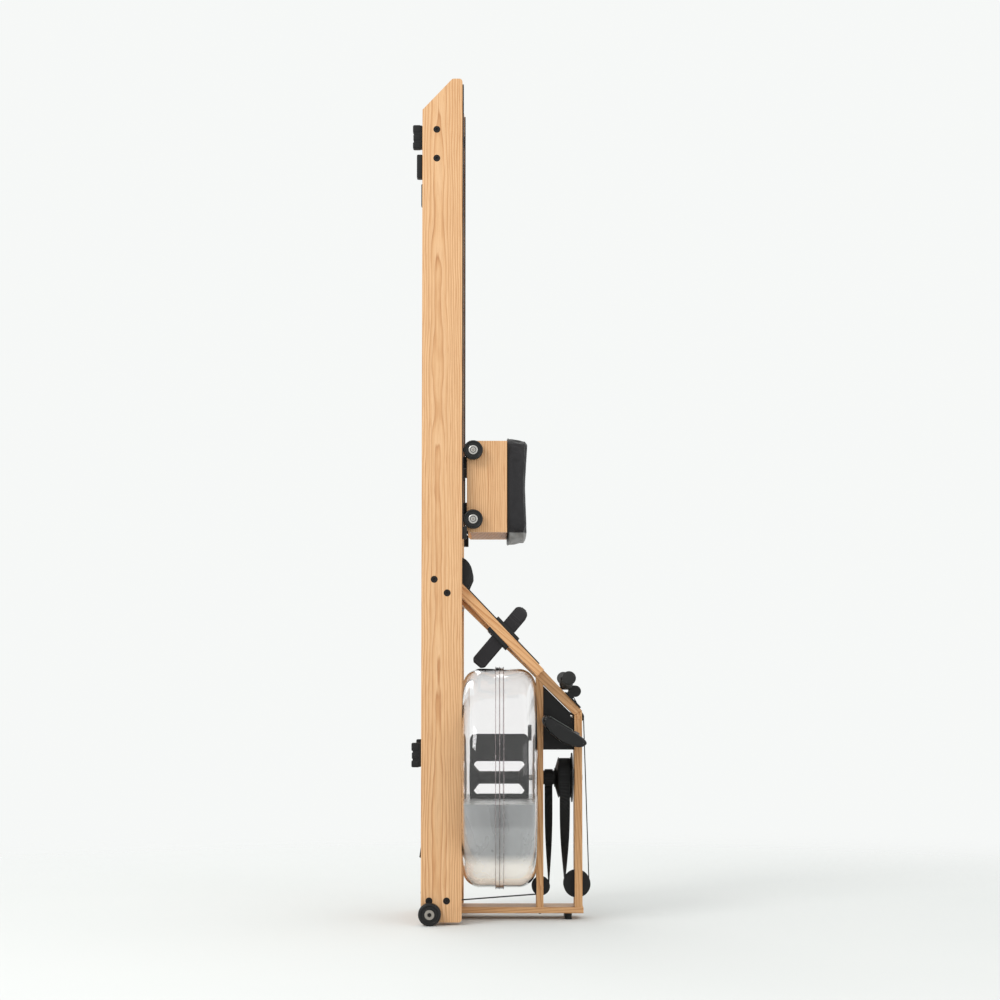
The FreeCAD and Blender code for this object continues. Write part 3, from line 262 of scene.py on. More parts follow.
def water_look():
    # Emission here is painted light: the water is made to glow, standing in for light that reaches inside the
    # clear tank.
    material, tree, shader = new_material("tank_water_look", Transmission_Weight=0.3, IOR=1.15,
                                          Emission_Strength=0.42)
    ripple = noise(tree, coordinates(tree, (1, 1, 0.15)), 22, 3)
    up = add_node(tree, "SeparateXYZ", {0: coordinates(tree)}).outputs[2]
    # Below about 0.16 m the water is painted near-white with a cream glow, which is painted light; above that
    # it is grey with a faint glow.
    depth = add_node(tree, "MapRange", {"Value": up, "From Min": 0.145, "From Max": 0.175}).outputs[0]
    grey = mix(tree, ripple, (0.64, 0.665, 0.675), (0.69, 0.72, 0.73))
    tree.links.new(mix(tree, depth, (1.0, 0.99, 0.95), grey), shader.inputs["Base Color"])
    tree.links.new(mix(tree, depth, (0.9, 0.86, 0.76), (0.05, 0.05, 0.05)), shader.inputs["Emission Color"])
    tree.links.new(stretch(tree, ripple, 0.22, 0.34), shader.inputs["Roughness"])
    tree.links.new(bump(tree, ripple, 0.0008, 0.15), shader.inputs["Normal"])
    return material


def vinyl(edge_up):
    """Charcoal seat vinyl with a leather grain; below edge_up it is painted a lighter grey, a painted
    reflection of the floor's light on the pad's low end.
    """
    material, tree, shader = new_material("seat_vinyl", Sheen_Weight=0.03, Sheen_Roughness=0.5,
                                          Specular_IOR_Level=0.25)
    place = coordinates(tree)
    cells = add_node(tree, "TexVoronoi", {"Vector": place, "Scale": 620.0}, feature="SMOOTH_F1").outputs[0]
    creases = noise(tree, place, 90, 5, 0.65)
    up = add_node(tree, "SeparateXYZ", {0: place}).outputs[2]
    # Below edge_up the vinyl is painted a lighter grey: a painted reflection of the floor's light, not a
    # separate cover.
    painted_reflection_mask = add_node(tree, "MapRange", {"Value": up, "From Min": edge_up,
                                        "From Max": edge_up + 3 * MM}).outputs[0]
    dark = mix(tree, creases, (0.011, 0.010, 0.011), (0.024, 0.023, 0.025))
    light = mix(tree, creases, (0.19, 0.185, 0.18), (0.30, 0.295, 0.285))
    tree.links.new(mix(tree, painted_reflection_mask, light, dark), shader.inputs["Base Color"])
    tree.links.new(stretch(tree, creases, 0.42, 0.66), shader.inputs["Roughness"])
    grain = bump(tree, cells, 0.0005, 0.6)
    tree.links.new(bump(tree, creases, 0.0006, 0.4, grain), shader.inputs["Normal"])
    return material


def display_look():
    """A dark liquid-crystal window with plain segment bars."""
    material, tree, shader = new_material("display_look", Coat_Weight=0.8, Coat_Roughness=0.04)
    place = coordinates(tree)
    columns = bands(tree, place, 14, "Y")
    rows = bands(tree, place, 22, "Z")
    bars = mix(tree, 1.0, ramp(tree, columns, (0.55, (0, 0, 0)), (0.6, (1, 1, 1))),
               ramp(tree, rows, (0.6, (0, 0, 0)), (0.65, (1, 1, 1))), "MULTIPLY")
    tree.links.new(mix(tree, bars, (0.14, 0.16, 0.14), (0.10, 0.115, 0.10)), shader.inputs["Base Color"])
    tree.links.new(stretch(tree, noise(tree, place, 40), 0.15, 0.25), shader.inputs["Roughness"])
    return material


SLOPE_TURN = (0, math.atan2(ALONG.x, -ALONG.z), 0)
LOOKS = {
    "oak_up": oak("oak_upright", (0, 0, 0), heart=(-0.158, -0.205)),
    "oak_left": oak("oak_upright_far", (0, 0, 0), seed=5, heart=(-0.128, 0.19)),
    "oak_deck": oak("oak_deck", (0, 0, 0), (0.93, 0.86, 0.76), seed=2),
    "oak_slope": oak("oak_sloped", SLOPE_TURN, (0.96, 0.90, 0.82), seed=3),
    "oak_level": oak("oak_level", (0, math.pi / 2, 0), (0.97, 0.92, 0.85), seed=4),
    "oak_cross": oak("oak_crosswise", (math.pi / 2, 0, 0), (0.84, 0.68, 0.52), seed=6, shine=0.0),
    "plastic": moulded("black_plastic_look", (0.006, 0.006, 0.006), 0.42),
    "gloss": moulded("monitor_shell_look", (0.0035, 0.0035, 0.0035), 0.30, coat=0.12),
    "track": moulded("track_look", (0.014, 0.011, 0.011), 0.35, ribs=("Y", 60, 0.0004)),
    "rubber": moulded("ribbed_rubber_look", (0.006, 0.006, 0.006), 0.62, ribs=("Y", 55, 0.0008)),
    "foam": moulded("grip_foam_look", (0.017, 0.017, 0.016), 0.85, grain=420, depth=0.0012),
    "plate": moulded("foot_plate_look", (0.008, 0.008, 0.008), 0.5, ribs=("Y", 38, 0.0012)),
    "tyre": moulded("tyre_look", (0.005, 0.005, 0.005), 0.35, coat=0.1),
    "button": moulded("button_look", (0.10, 0.10, 0.105), 0.5),
    "steel": metal("bright_steel_look", (0.62, 0.60, 0.57), 0.3, (1, 0.05, 1)),
    "hub": metal("hub_metal_look", (0.42, 0.39, 0.35), 0.38),
    "oxide": metal("black_oxide_look", (0.014, 0.011, 0.010), 0.5, metallic=0.2),
    "paint": metal("black_paint_look", (0.008, 0.008, 0.008), 0.42, metallic=0.0),
    "strap_long": webbing("strap_webbing_look", (0.006, 0.006, 0.006), "Z", "Y"),
    "strap_cross": webbing("toe_strap_look", (0.012, 0.011, 0.012), "Y", "X"),
    "cord": webbing("cord_look", (0.007, 0.007, 0.007), "Z", "Y", 0.0035),
    "clear": clear_plastic(),
    "seam": seam_look(),
    "water": water_look(),
    "display": display_look(),
}

NODE_LOOKS = {
    "oak_up": ["rail_right", "seat_sides"],
    "oak_left": ["rail_left"],
    "oak_deck": ["deck_rails"],
    "oak_slope": ["footboard_beams", "footboard_panels"],
    "oak_level": ["front_board"],
    "oak_cross": ["rear_spacer", "front_spacer", "footboard_crosspiece", "seat_cross_boards"],
    "plastic": ["seat_stops", "strap_clamps", "drive_drum", "sensor_disc",
                "drive_pulley", "recoil_pulley", "bungee_pulley", "strap_guide_roller", "seat_guides",
                "paddle", "side_plates", "monitor_bracket", "handle_rest", "shaft_bearings", "fill_plug"],
    "track": ["seat_tracks"],
    "seam": ["tank_seal"],
    "plate": ["foot_plates"],
    "tyre": ["transport_wheel_right", "transport_wheel_left", "seat_wheel_front_right",
             "seat_wheel_front_left", "seat_wheel_rear_right", "seat_wheel_rear_left"],
    "button": ["monitor_button_left", "monitor_button_right"],
    "steel": ["seat_axles", "pulley_axles", "drive_shaft", "cord_eye"],
    "hub": ["transport_axles"],
    "oxide": ["rail_bolts"],
    "paint": ["handle_bar"],
    "strap_long": ["drive_strap", "recoil_strap"],
    "cord": ["bungee_cord"],
    "clear": ["tank_lower_shell", "tank_upper_shell"],
    "display": ["monitor_screen"],
}

# how far each look's edges are rounded, in metres
EDGES = {"oak_up": 0.002, "oak_left": 0.002, "oak_deck": 0.0015, "oak_slope": 0.0015, "oak_level": 0.0012,
         "oak_cross": 0.0015, "plastic": 0.0008, "plate": 0.0008, "tyre": 0.0008, "paint": 0.0008,
         "hub": 0.0004, "oxide": 0.0004, "track": 0.0005}


def dress_nodes():
    """Gives every CAD node its material, and rounds its edges."""
    for look, names in NODE_LOOKS.items():
        for name in names:
            mesh = nodes[name].data
            mesh.materials.clear()
            mesh.materials.append(LOOKS[look])
            for face in mesh.polygons:
                face.material_index = 0
            if look in EDGES:
                round_edges(nodes[name], EDGES[look])


def round_edges(piece, width):
    """Bevels the sharp edges, after the flat faces are joined up."""
    weld = piece.modifiers.new("weld", "WELD")
    weld.merge_threshold = 0.00002
    flat = piece.modifiers.new("flat", "DECIMATE")
    flat.decimate_type = "DISSOLVE"
    flat.angle_limit = math.radians(0.5)
    edge = piece.modifiers.new("edge", "BEVEL")
    edge.width = width
    edge.segments = 3
    edge.limit_method = "ANGLE"
    edge.angle_limit = math.radians(38)
    piece.modifiers.new("normals", "WEIGHTED_NORMAL")


# ---------------------------------------------------------------- making pieces

def finish_piece(name, mesh, look, body, smooth=True):
    mesh.materials.append(LOOKS[look] if isinstance(look, str) else look)
    mesh.update()
    piece = bpy.data.objects.new(name, mesh)
    bpy.context.scene.collection.objects.link(piece)
    if smooth:
        mesh.shade_smooth()
        mesh.set_sharp_from_angle(angle=math.radians(40))
    if body:
        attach(piece, body)
    return piece


def mesh_from(name, points, faces):
    mesh = bpy.data.meshes.new(name)
    mesh.from_pydata([tuple(p) for p in points], [], faces)
    shape = bmesh.new()
    shape.from_mesh(mesh)
    bmesh.ops.remove_doubles(shape, verts=shape.verts, dist=1e-6)
    bmesh.ops.recalc_face_normals(shape, faces=shape.faces)
    shape.to_mesh(mesh)
    shape.free()
    return mesh


def walls(sections, count, closed=False):
    """Faces from each section of count points to the next; the two ends are joined up or capped."""
    faces = []
    for i in range(sections if closed else sections - 1):
        here, there = i * count, (i + 1) % sections * count
        for k in range(count):
            beside = (k + 1) % count
            faces.append((here + k, here + beside, there + beside, there + k))
    if not closed:
        faces += [tuple(range(count)), tuple(range((sections - 1) * count, sections * count))]
    return faces


def in_metres(outline):
    return [(radius * MM, height * MM) for radius, height in outline]


def lathe(name, profile, centre, axis, segments=64):
    """A closed outline of (radius, height) turned about the axis through the centre."""
    side = (Y_AXIS if abs(axis.dot(Y_AXIS)) < 0.9 else X_AXIS).cross(axis).normalized()
    other = axis.cross(side)
    points = []
    for turn in range(segments):
        angle = 2 * math.pi * turn / segments
        way = side * math.cos(angle) + other * math.sin(angle)
        points += [centre + way * radius + axis * height for radius, height in profile]
    return mesh_from(name, points, walls(segments, len(profile), True))


def ribbon(name, path, across, width, thick, closed=False, shares=None):
    """A flat strap with rounded edges along the path; across is its width's direction.

    shares, if given, are the share of the full width that the strap has at each point.
    """
    section = [(-1, -1), (1, -1), (1, 0), (1, 1), (-1, 1), (-1, 0)]
    points = []
    for i, place in enumerate(path):
        before = path[i - 1] if i or closed else path[0]
        after = path[(i + 1) % len(path)] if closed or i + 1 < len(path) else path[-1]
        out = (after - before).normalized().cross(across).normalized()
        half = width / 2 * (shares[i] if shares else 1)
        flat_half = half - thick / 2
        points += [place + across * a * (flat_half if b else half) + out * b * thick / 2 for a, b in section]
    return mesh_from(name, points, walls(len(path), len(section), closed))


def arc(centre, first, second, radius, start, end, steps=24):
    """Points on a circle, from angle start to end, from the direction first towards second."""
    angles = [math.radians(start + (end - start) * i / steps) for i in range(steps + 1)]
    return [centre + (first * math.cos(a) + second * math.sin(a)) * radius for a in angles]


def rounded_loop(centre, first, second, power, steps):
    """A closed path that fills the rectangle of the half sides first and second, its corners rounded."""
    path = []
    for i in range(steps):
        angle = 2 * math.pi * i / steps
        c, s = math.cos(angle), math.sin(angle)
        grow = (abs(c) ** power + abs(s) ** power) ** (-1 / power)
        path.append(centre + first * (c * grow) + second * (s * grow))
    return path


# ---------------------------------------------------------------- seat

PLAN_POWER = 5    # how square the seat's plan is: 2 is an oval


def cushion_start(lo, hi):
    """The pad before it swells: a rounded plan, a pinched waist and a dished top."""
    centre, half = (lo + hi) / 2, (hi - lo) / 2
    shape = bmesh.new()
    bmesh.ops.create_cube(shape, size=2)
    bmesh.ops.subdivide_edges(shape, edges=shape.edges, cuts=15, use_grid_fill=True)
    for vertex in shape.verts:
        x, y, z = vertex.co
        reach = max(abs(y), abs(z))
        if reach > 0:
            round_plan = (abs(y) ** PLAN_POWER + abs(z) ** PLAN_POWER) ** (1 / PLAN_POWER)
            y, z = y * reach / round_plan, z * reach / round_plan
        level = (x + 1) / 2
        waist = 1 - 0.022 * math.sin(math.pi * level)
        waist -= 0.02 * max(0, level - 0.75) + 0.025 * max(0, 1 - level / 0.2)
        slant = 0.018 * level * max(0, z)
        dish = 0.10 * math.exp(-((abs(y) - 0.45) / 0.3) ** 2 - ((z - 0.1) / 0.55) ** 2)
        ends = 0.98 if z > 0 else 0.92
        saddle = (ends - 0.84) * (1 - min(1, abs(z)) ** 1.6)
        top = level * (ends - dish - saddle)
        vertex.co = (lo.x + 2 * half.x * top, centre.y + half.y * 0.985 * y * waist,
                     centre.z + half.z * 0.985 * (z * waist - slant))
    mesh = bpy.data.meshes.new("seat_pad")
    shape.to_mesh(mesh)
    shape.free()
    return mesh


def make_cushion():
    """The padded seat, closed up by a remesh and swollen by its filling."""
    lo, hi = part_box("seat_cushion")
    # The vinyl within 23 mm of the pad's low end is painted lighter grey, a painted reflection of the floor.
    base_gap, painted_reflection_high = 1.5 * MM, 23 * MM
    mesh = cushion_start(lo + X_AXIS * base_gap, hi)
    pad = finish_piece("seat_pad", mesh, vinyl(lo.z + painted_reflection_high), None)
    view = bpy.context.view_layer
    view.objects.active = pad
    pad.data.remesh_voxel_size = 5 * MM
    with bpy.context.temp_override(object=pad, active_object=pad, selected_objects=[pad]):
        bpy.ops.object.voxel_remesh()
    swell(pad, held_below=lo.x + 6 * MM, cap=6 * MM)
    smooth = pad.modifiers.new("smooth", "SUBSURF")
    smooth.levels = smooth.render_levels = 1
    pad.data.shade_smooth()
    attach(pad, "seat")
    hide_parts("seat_cushion")


def swell(pad, held_below, cap):
    """Blows the pad up a little with cloth pressure, its base held, no point moving further than cap."""
    before = [vertex.co.copy() for vertex in pad.data.vertices]
    held = pad.vertex_groups.new(name="held")
    held.add([i for i, place in enumerate(before) if place.x < held_below], 1, "REPLACE")
    cloth = pad.modifiers.new("cloth", "CLOTH")
    cloth.settings.use_pressure = True
    cloth.settings.uniform_pressure_force = 4
    cloth.settings.vertex_group_mass = "held"
    cloth.settings.quality = 5
    cloth.settings.effector_weights.gravity = 0
    cloth.collision_settings.use_collision = False
    last_frame = 20
    cloth.point_cache.frame_start, cloth.point_cache.frame_end = 1, last_frame
    for step in range(1, last_frame + 1):
        bpy.context.scene.frame_set(step)
    shown = pad.evaluated_get(bpy.context.evaluated_depsgraph_get())
    after = [vertex.co.copy() for vertex in shown.data.vertices]
    pad.modifiers.remove(cloth)
    bpy.context.scene.frame_set(1)
    for vertex, old, new in zip(pad.data.vertices, before, after):
        move = new - old
        vertex.co = old + move * min(1, cap / max(move.length, 1e-9))


def make_seat_tray():
    """The rim of the moulded tray that the pad is glued into."""
    lo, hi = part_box("seat_cushion")
    centre, half = (lo + hi) / 2, (hi - lo) / 2
    share = 0.962    # of the cushion's plan
    path = rounded_loop(Vector((lo.x + 3 * MM, centre.y, centre.z)), Y_AXIS * half.y * share,
                        Z_AXIS * half.z * share, PLAN_POWER, 96)
    finish_piece("seat_tray_rim", ribbon("seat_tray_rim", path, X_AXIS, 6 * MM, 4 * MM, True),
                 "plastic", "seat")


def make_seat_wheel_hubs():
    """A bright plate on each seat wheel with a dark groove round it, and a boss on the axle's end."""
    axle_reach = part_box("seat_axles")[1].y
    plate = [(3.6, -1), (11.2, -1), (11.2, 0.2), (10.4, 0.8), (9.4, 0.9), (3.6, 0.5)]
    groove = [(5.9, 0.4), (7.4, 0.4), (7.2, 1.0), (6.1, 1.0)]
    boss = [(0.05, 0), (3.4, 0), (3.2, 1.0), (2.0, 1.2), (1.7, 0.6), (0.05, 0.6)]
    for place in ("front", "rear"):
        for side, out in SIDES:
            node = f"seat_wheel_{place}_{side}"
            lo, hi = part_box(node)
            wheel_reach = max(abs(lo.y), abs(hi.y))
            for part, outline, reach, look, body, slot in (
                    ("hub", plate, wheel_reach, "steel", f"{node}_body", "bright_steel"),
                    ("groove", groove, max(wheel_reach, axle_reach), "oxide", f"{node}_body", "black_bolt"),
                    ("boss", boss, axle_reach, "hub", "seat", "bright_steel")):
                centre = (lo + hi) / 2
                centre.y = out * reach
                mesh = lathe(part, in_metres(outline), centre, Y_AXIS * out)
                finish_piece(f"{node}_{part}", mesh, look, body)


def make_transport_details():
    """The six-sided socket in the end of each transport wheel's bolt."""
    for side, out in SIDES:
        lo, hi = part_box(f"transport_wheel_{side}")
        centre = (lo + hi) / 2
        centre.y = out * (max(abs(lo.y), abs(hi.y)) + 1.0 * MM)
        socket = [(0.01, 0), (5.6, 0), (5.6, 3.6), (5.0, 3.6), (4.6, 2.6), (0.01, 2.6)]
        finish_piece(f"transport_socket_{side}",
                     lathe("socket", in_metres(socket), centre, Y_AXIS * out, 6),
                     "oxide", "frame", smooth=False)


# ---------------------------------------------------------------- straps

def narrowing(reach):
    """How much of its width a strap keeps this near to its rounded end."""
    return 1 - 0.36 * max(0, 1 - reach / (10 * MM)) ** 2


def make_toe_straps():
    """Each strap goes round the foot, down through the board and hangs in a loop below it."""
    radius, thick, width, deep = 42.5 * MM, 3 * MM, 36 * MM, 112 * MM
    crown_up, corner = 24 * MM, 9 * MM
    lean = Matrix.Rotation(math.radians(-6), 3, "Y")
    across, up = lean @ ALONG, lean @ RISE
    for side, out in SIDES:
        base = SLOPE_START + ALONG * TOE_STRAP_ALONG + Y_AXIS * out * FOOT_OUT
        crown = base + up * crown_up
        low = base - up * (deep - corner)
        loop = arc(crown, Y_AXIS, up, radius, 0, 180, 32)
        loop += [base - Y_AXIS * radius, base - Y_AXIS * radius - up * 50 * MM]
        loop += arc(low - Y_AXIS * (radius - corner), Y_AXIS, up, corner, 180, 270, 6)
        loop += arc(low + Y_AXIS * (radius - corner), Y_AXIS, up, corner, 270, 360, 6)
        loop += [base + Y_AXIS * radius - up * 50 * MM, base + Y_AXIS * radius]
        heights = [(place - base).dot(up) for place in loop]
        shares = [narrowing(min(max(heights) - height, height - min(heights))) for height in heights]
        band = ribbon("toe", loop, across, width, thick, True, shares)
        finish_piece(f"toe_strap_{side}_band", band, "strap_cross", "frame")
        lap = arc(crown, Y_AXIS, up, radius + 2.6 * MM, 12, 168, 28)
        lap_shares = [narrowing(max(heights) - (place - base).dot(up)) for place in lap]
        lap_mesh = ribbon("lap", lap, across, width - 6 * MM, 2.2 * MM, False, lap_shares)
        finish_piece(f"toe_strap_{side}_lap", lap_mesh, "strap_cross", "frame")
    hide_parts("toe_straps")


def make_strap_lead():
    """The strap from the guide roller to the handle, laid straight along its length."""
    lo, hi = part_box("strap_lead")
    inset, steps = Vector((1 * MM, 0, -0.3 * MM)), 12
    start, end = Vector((hi.x, 0, lo.z)) - inset, Vector((lo.x, 0, hi.z)) + inset
    path = [start.lerp(end, i / steps) for i in range(steps + 1)]
    lead = finish_piece("strap_to_handle", ribbon("lead", path, Y_AXIS, hi.y - lo.y, 1.6 * MM),
                        "strap_long", None)
    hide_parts("strap_lead")
    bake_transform(lead)


# ---------------------------------------------------------------- tank, pads, cups, monitor and trim

def make_water():
    """The body of water, level at its settled height, inside the tank's wall."""
    lo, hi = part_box("water")
    shell_lo, shell_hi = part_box("tank_lower_shell")[0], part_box("tank_upper_shell")[1]
    axis_up = (shell_lo.z + shell_hi.z) / 2
    radius, round_off = axis_up - lo.z, 41 * MM
    quarter = [math.radians(10 * i) for i in range(10)]
    profile = [(0.1 * MM, lo.x)]
    profile += [(radius - round_off + round_off * math.sin(a), lo.x + round_off - round_off * math.cos(a))
                for a in quarter]
    profile += [(radius - round_off + round_off * math.cos(a), hi.x - round_off + round_off * math.sin(a))
                for a in quarter]
    profile += [(0.1 * MM, hi.x)]
    mesh = lathe("tank_water_body", profile, Vector((0, 0, axis_up)), X_AXIS, 160)
    shape = bmesh.new()
    shape.from_mesh(mesh)
    bmesh.ops.bisect_plane(shape, geom=shape.verts[:] + shape.edges[:] + shape.faces[:],
                           plane_co=(0, 0, hi.z), plane_no=(0, 0, 1), clear_outer=True)
    rim = [edge for edge in shape.edges if edge.is_boundary]
    bmesh.ops.contextual_create(shape, geom=rim)
    bmesh.ops.recalc_face_normals(shape, faces=shape.faces)
    shape.to_mesh(mesh)
    shape.free()
    water = finish_piece("tank_water_body", mesh, "water", "frame")
    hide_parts("water")


def make_seam_rings():
    """The two moulded edges of the flange that joins the tank's shells."""
    lo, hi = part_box("tank_seal")
    radius, up = (hi.z - lo.z) / 2, (hi.z + lo.z) / 2
    inner, outer, half = radius - 2.5 * MM, radius + 0.3 * MM, 0.8 * MM
    ring = [(inner, -half), (outer, -half), (outer, half), (inner, half)]
    for name, x in (("tank_seam_lower", lo.x - 9 * MM), ("tank_seam_upper", hi.x + 9 * MM)):
        mesh = lathe(name, ring, Vector((x, 0, up)), X_AXIS, 160)
        finish_piece(name, mesh, "seam", "frame")


def block(name, lo, hi, round_off, look, body, slot):
    """A rounded block between two corners."""
    mesh = bpy.data.meshes.new(name)
    shape = bmesh.new()
    bmesh.ops.create_cube(shape, size=1)
    for vertex in shape.verts:
        vertex.co = [(low + high) / 2 + side * (high - low) for side, low, high in zip(vertex.co, lo, hi)]
    bmesh.ops.bevel(shape, geom=shape.edges[:], offset=round_off, segments=4, profile=0.5, affect="EDGES")
    shape.to_mesh(mesh)
    shape.free()
    return finish_piece(name, mesh, look, body)


def make_floor_pads():
    """Ribbed blocks under the rails, and a thin plain pad beside each rear one."""
    lo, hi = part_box("floor_pads")
    wide, long, inset = 24 * MM, 60 * MM, 1 * MM
    ribs = ((0, 17, 0), (20, 37, 1), (40, 60, 0))    # start, end and how far in from the outer face
    edges = (("right", lo.y), ("left", hi.y - wide))
    thin, thin_low, thin_high = 14 * MM, hi.z - 135 * MM, hi.z - 75 * MM
    for place, low in (("front", lo.z), ("rear", hi.z - long)):
        for side, edge in edges:
            name = f"floor_pad_{place}_{side}"
            core = (Vector((lo.x + 3 * MM, edge + inset, low + inset)),
                    Vector((hi.x - 0.5 * MM, edge + wide - inset, low + long - inset)))
            block(name, *core, 2 * MM, "rubber", "frame", "black_rubber")
            for count, (start, end, sunk) in enumerate(ribs):
                rib = (Vector((lo.x + sunk * MM, edge, low + start * MM)),
                       Vector((hi.x - 4 * MM, edge + wide, low + end * MM)))
                block(f"{name}_rib_{count + 1}", *rib, 3.5 * MM, "rubber", "frame", "black_rubber")
    for side, edge in edges:
        corners = (Vector((hi.x - thin, edge, thin_low)), Vector((hi.x, edge + wide, thin_high)))
        block(f"thin_pad_{side}", *corners, 3 * MM, "rubber", "frame", "black_rubber")
    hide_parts("floor_pads")


def smooth_outline(points, steps=6):
    """A closed curve through the points, as (a, b) pairs."""
    curve = []
    count = len(points)
    for i in range(count):
        p = [Vector(points[(i + k) % count]) for k in (-1, 0, 1, 2)]
        for step in range(steps):
            t = step / steps
            curve.append(0.5 * (2 * p[1] + (p[2] - p[0]) * t + (2 * p[0] - 5 * p[1] + 4 * p[2] - p[3]) * t * t
                                + (3 * p[1] - p[0] - 3 * p[2] + p[3]) * t ** 3))
    return curve


def heel_wall(forward):
    """The heel cup's height this far ahead of its back: rising a little, then falling to its toe."""
    crest, length, top = 29 * MM, 80 * MM, 45 * MM
    if forward < crest:
        return top * (1 - 0.17 * (1 - forward / crest) ** 2)
    return max(2 * MM, top * math.sqrt(max(0, 1 - ((forward - crest) / (length - crest)) ** 2)))


def make_heel_cups():
    """A curved shell round the heel, with a rolled rim and a flat sole."""
    sole, wall, half, back = 3.6 * MM, 4 * MM, 41 * MM, 74 * MM
    # the wall's section: how far up, as a share of its height, and how far in, as a share of its thickness
    section = ((0, 0), (0.3, 0), (0.6, 0), (0.86, 0), (0.97, 0.2), (1, 0.5), (0.97, 0.8), (0.86, 1), (0.5, 1),
               (0, 1))
    for side, out in SIDES:
        base = SLOPE_START + Y_AXIS * out * FOOT_OUT
        rings = []
        for i in range(33):
            angle = math.pi * (i / 32 - 0.5) * 1.12
            reach = -back + half * 0.95 * (1 - math.cos(angle)) + max(0, abs(angle) - 1.2) * 60 * MM
            y = half * math.sin(max(-math.pi / 2, min(math.pi / 2, angle)))
            tall = heel_wall(reach + back)
            lean = 7 * MM * math.cos(angle)
            inward = Vector((math.cos(angle) * wall, -math.sin(angle) * wall))
            rings.append([
                base + ALONG * (reach + lean * up ** 2 + inward.x * deep)
                + Y_AXIS * (y * (1 - 0.08 * up ** 2) + inward.y * deep) + RISE * (sole + tall * up)
                for up, deep in section])
        points = [point for ring in rings for point in ring]
        shell = mesh_from("cup", points, walls(len(rings), len(section)))
        cup = finish_piece(f"heel_cup_{side}_shell", shell, "plastic", f"heel_{side}")
        outline = [ring[0] - base for ring in rings]
        sole_points = [base + ALONG * edge.dot(ALONG) + Y_AXIS * edge.y + RISE * height
                       for height in (sole - 3 * MM, sole) for edge in outline]
        finish_piece(f"heel_cup_{side}_sole", mesh_from("sole", sole_points, walls(2, len(outline))),
                     "plate", f"heel_{side}")
        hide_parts(f"heel_cup_{side}")


def cut_wells(shell):
    """Cuts a round well for each button, square to the tilted face."""
    wells, gap = [], 0.5 * MM
    for name in ("monitor_button_left", "monitor_button_right"):
        lo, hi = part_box(name)
        radius = (hi.y - lo.y) / 2 + gap
        shape = bmesh.new()
        place = Matrix.Translation((lo + hi) / 2) @ Matrix.Rotation(MONITOR_TILT, 4, "Y")
        bmesh.ops.create_cone(shape, cap_ends=True, segments=48, radius1=radius, radius2=radius,
                              depth=14 * MM, matrix=place)
        mesh = bpy.data.meshes.new("well")
        shape.to_mesh(mesh)
        shape.free()
        well = bpy.data.objects.new("well", mesh)
        bpy.context.scene.collection.objects.link(well)
        cutter = shell.modifiers.new("well", "BOOLEAN")
        cutter.operation = "DIFFERENCE"
        cutter.solver = "EXACT"
        cutter.object = well
        wells.append(well)
    shown = shell.evaluated_get(bpy.context.evaluated_depsgraph_get())
    cut_mesh = bpy.data.meshes.new_from_object(shown)
    shell.modifiers.clear()
    shell.data = cut_mesh
    for well in wells:
        bpy.data.objects.remove(well)


def make_monitor():
    """A smooth rounded shell round the display, with a rolled edge at each side."""
    lo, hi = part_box("monitor_case")
    along = Vector((math.cos(MONITOR_TILT), 0, -math.sin(MONITOR_TILT)))
    face_up = Vector((math.sin(MONITOR_TILT), 0, math.cos(MONITOR_TILT)))
    top = [(6, -3.8), (24, -3.2), (48, -3.2), (72, -3.2), (96, -3.0), (113, -4.2), (124, -8), (127, -14)]
    belly = [(121, -25), (106, -33.5), (90, -38), (72, -40), (50, -38), (28, -33), (11, -26), (3, -17),
             (2.4, -8)]
    turned = [(along * p.x + face_up * p.y) * MM for p in smooth_outline(top + belly)]
    low = Vector((min(p.x for p in turned), 0, min(p.z for p in turned)))
    place = Vector((lo.x, 0, lo.z)) - low
    middle = sum(turned, Vector()) / len(turned)
    roll = 7 * MM
    sections = [(lo.y, 0.55)] + [(lo.y + roll * (1 - math.cos(a)), 0.80 + 0.20 * math.sin(a))
                                 for a in (math.radians(15 * i) for i in range(7))]
    sections += [(lo.y + hi.y - y, share) for y, share in reversed(sections)]
    points = [place + middle + (p - middle) * share + Y_AXIS * y for y, share in sections for p in turned]
    mesh = mesh_from("monitor_shell", points, walls(len(sections), len(turned)))
    shell = finish_piece("monitor_shell", mesh, "gloss", "monitor")
    cut_wells(shell)
    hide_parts("monitor_case")
    window_along, window_sunk = 47 * MM, 2.2 * MM
    window = place + along * window_along + Y_AXIS * (lo.y + hi.y) / 2 - face_up * window_sunk
    half_long, half_wide = 34.5 * MM, (hi.y - lo.y) / 2 - 6 * MM
    path = rounded_loop(window, along * half_long, Y_AXIS * half_wide, 12, 80)
    rim = ribbon("rim", path, face_up, 3.2 * MM, 2.4 * MM, True)
    finish_piece("monitor_window_rim", rim, "gloss", "monitor")


def make_feet():
    """Ribbed rubber feet under the front board."""
    lo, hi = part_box("front_feet")
    radius = (hi.x - lo.x) / 2
    inner, first_rib, rib_pitch = radius - 1.2 * MM, 0.6 * MM, 3 * MM
    profile = [(0.1 * MM, 0), (radius - 2 * MM, 0)]
    for i in range(5):
        up = first_rib + i * rib_pitch
        profile += [(inner, up), (radius, up + 0.5 * MM), (radius, up + 1.9 * MM), (inner, up + 2.3 * MM)]
    profile += [(inner, hi.z), (0.1 * MM, hi.z)]
    for out in (-1, 1):
        centre = Vector(((lo.x + hi.x) / 2, out * (hi.y - radius), 0))
        finish_piece(f"front_foot_{'near' if out < 0 else 'far'}",
                                 lathe("foot", profile, centre, Z_AXIS), "tyre", "frame")
    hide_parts("front_feet")


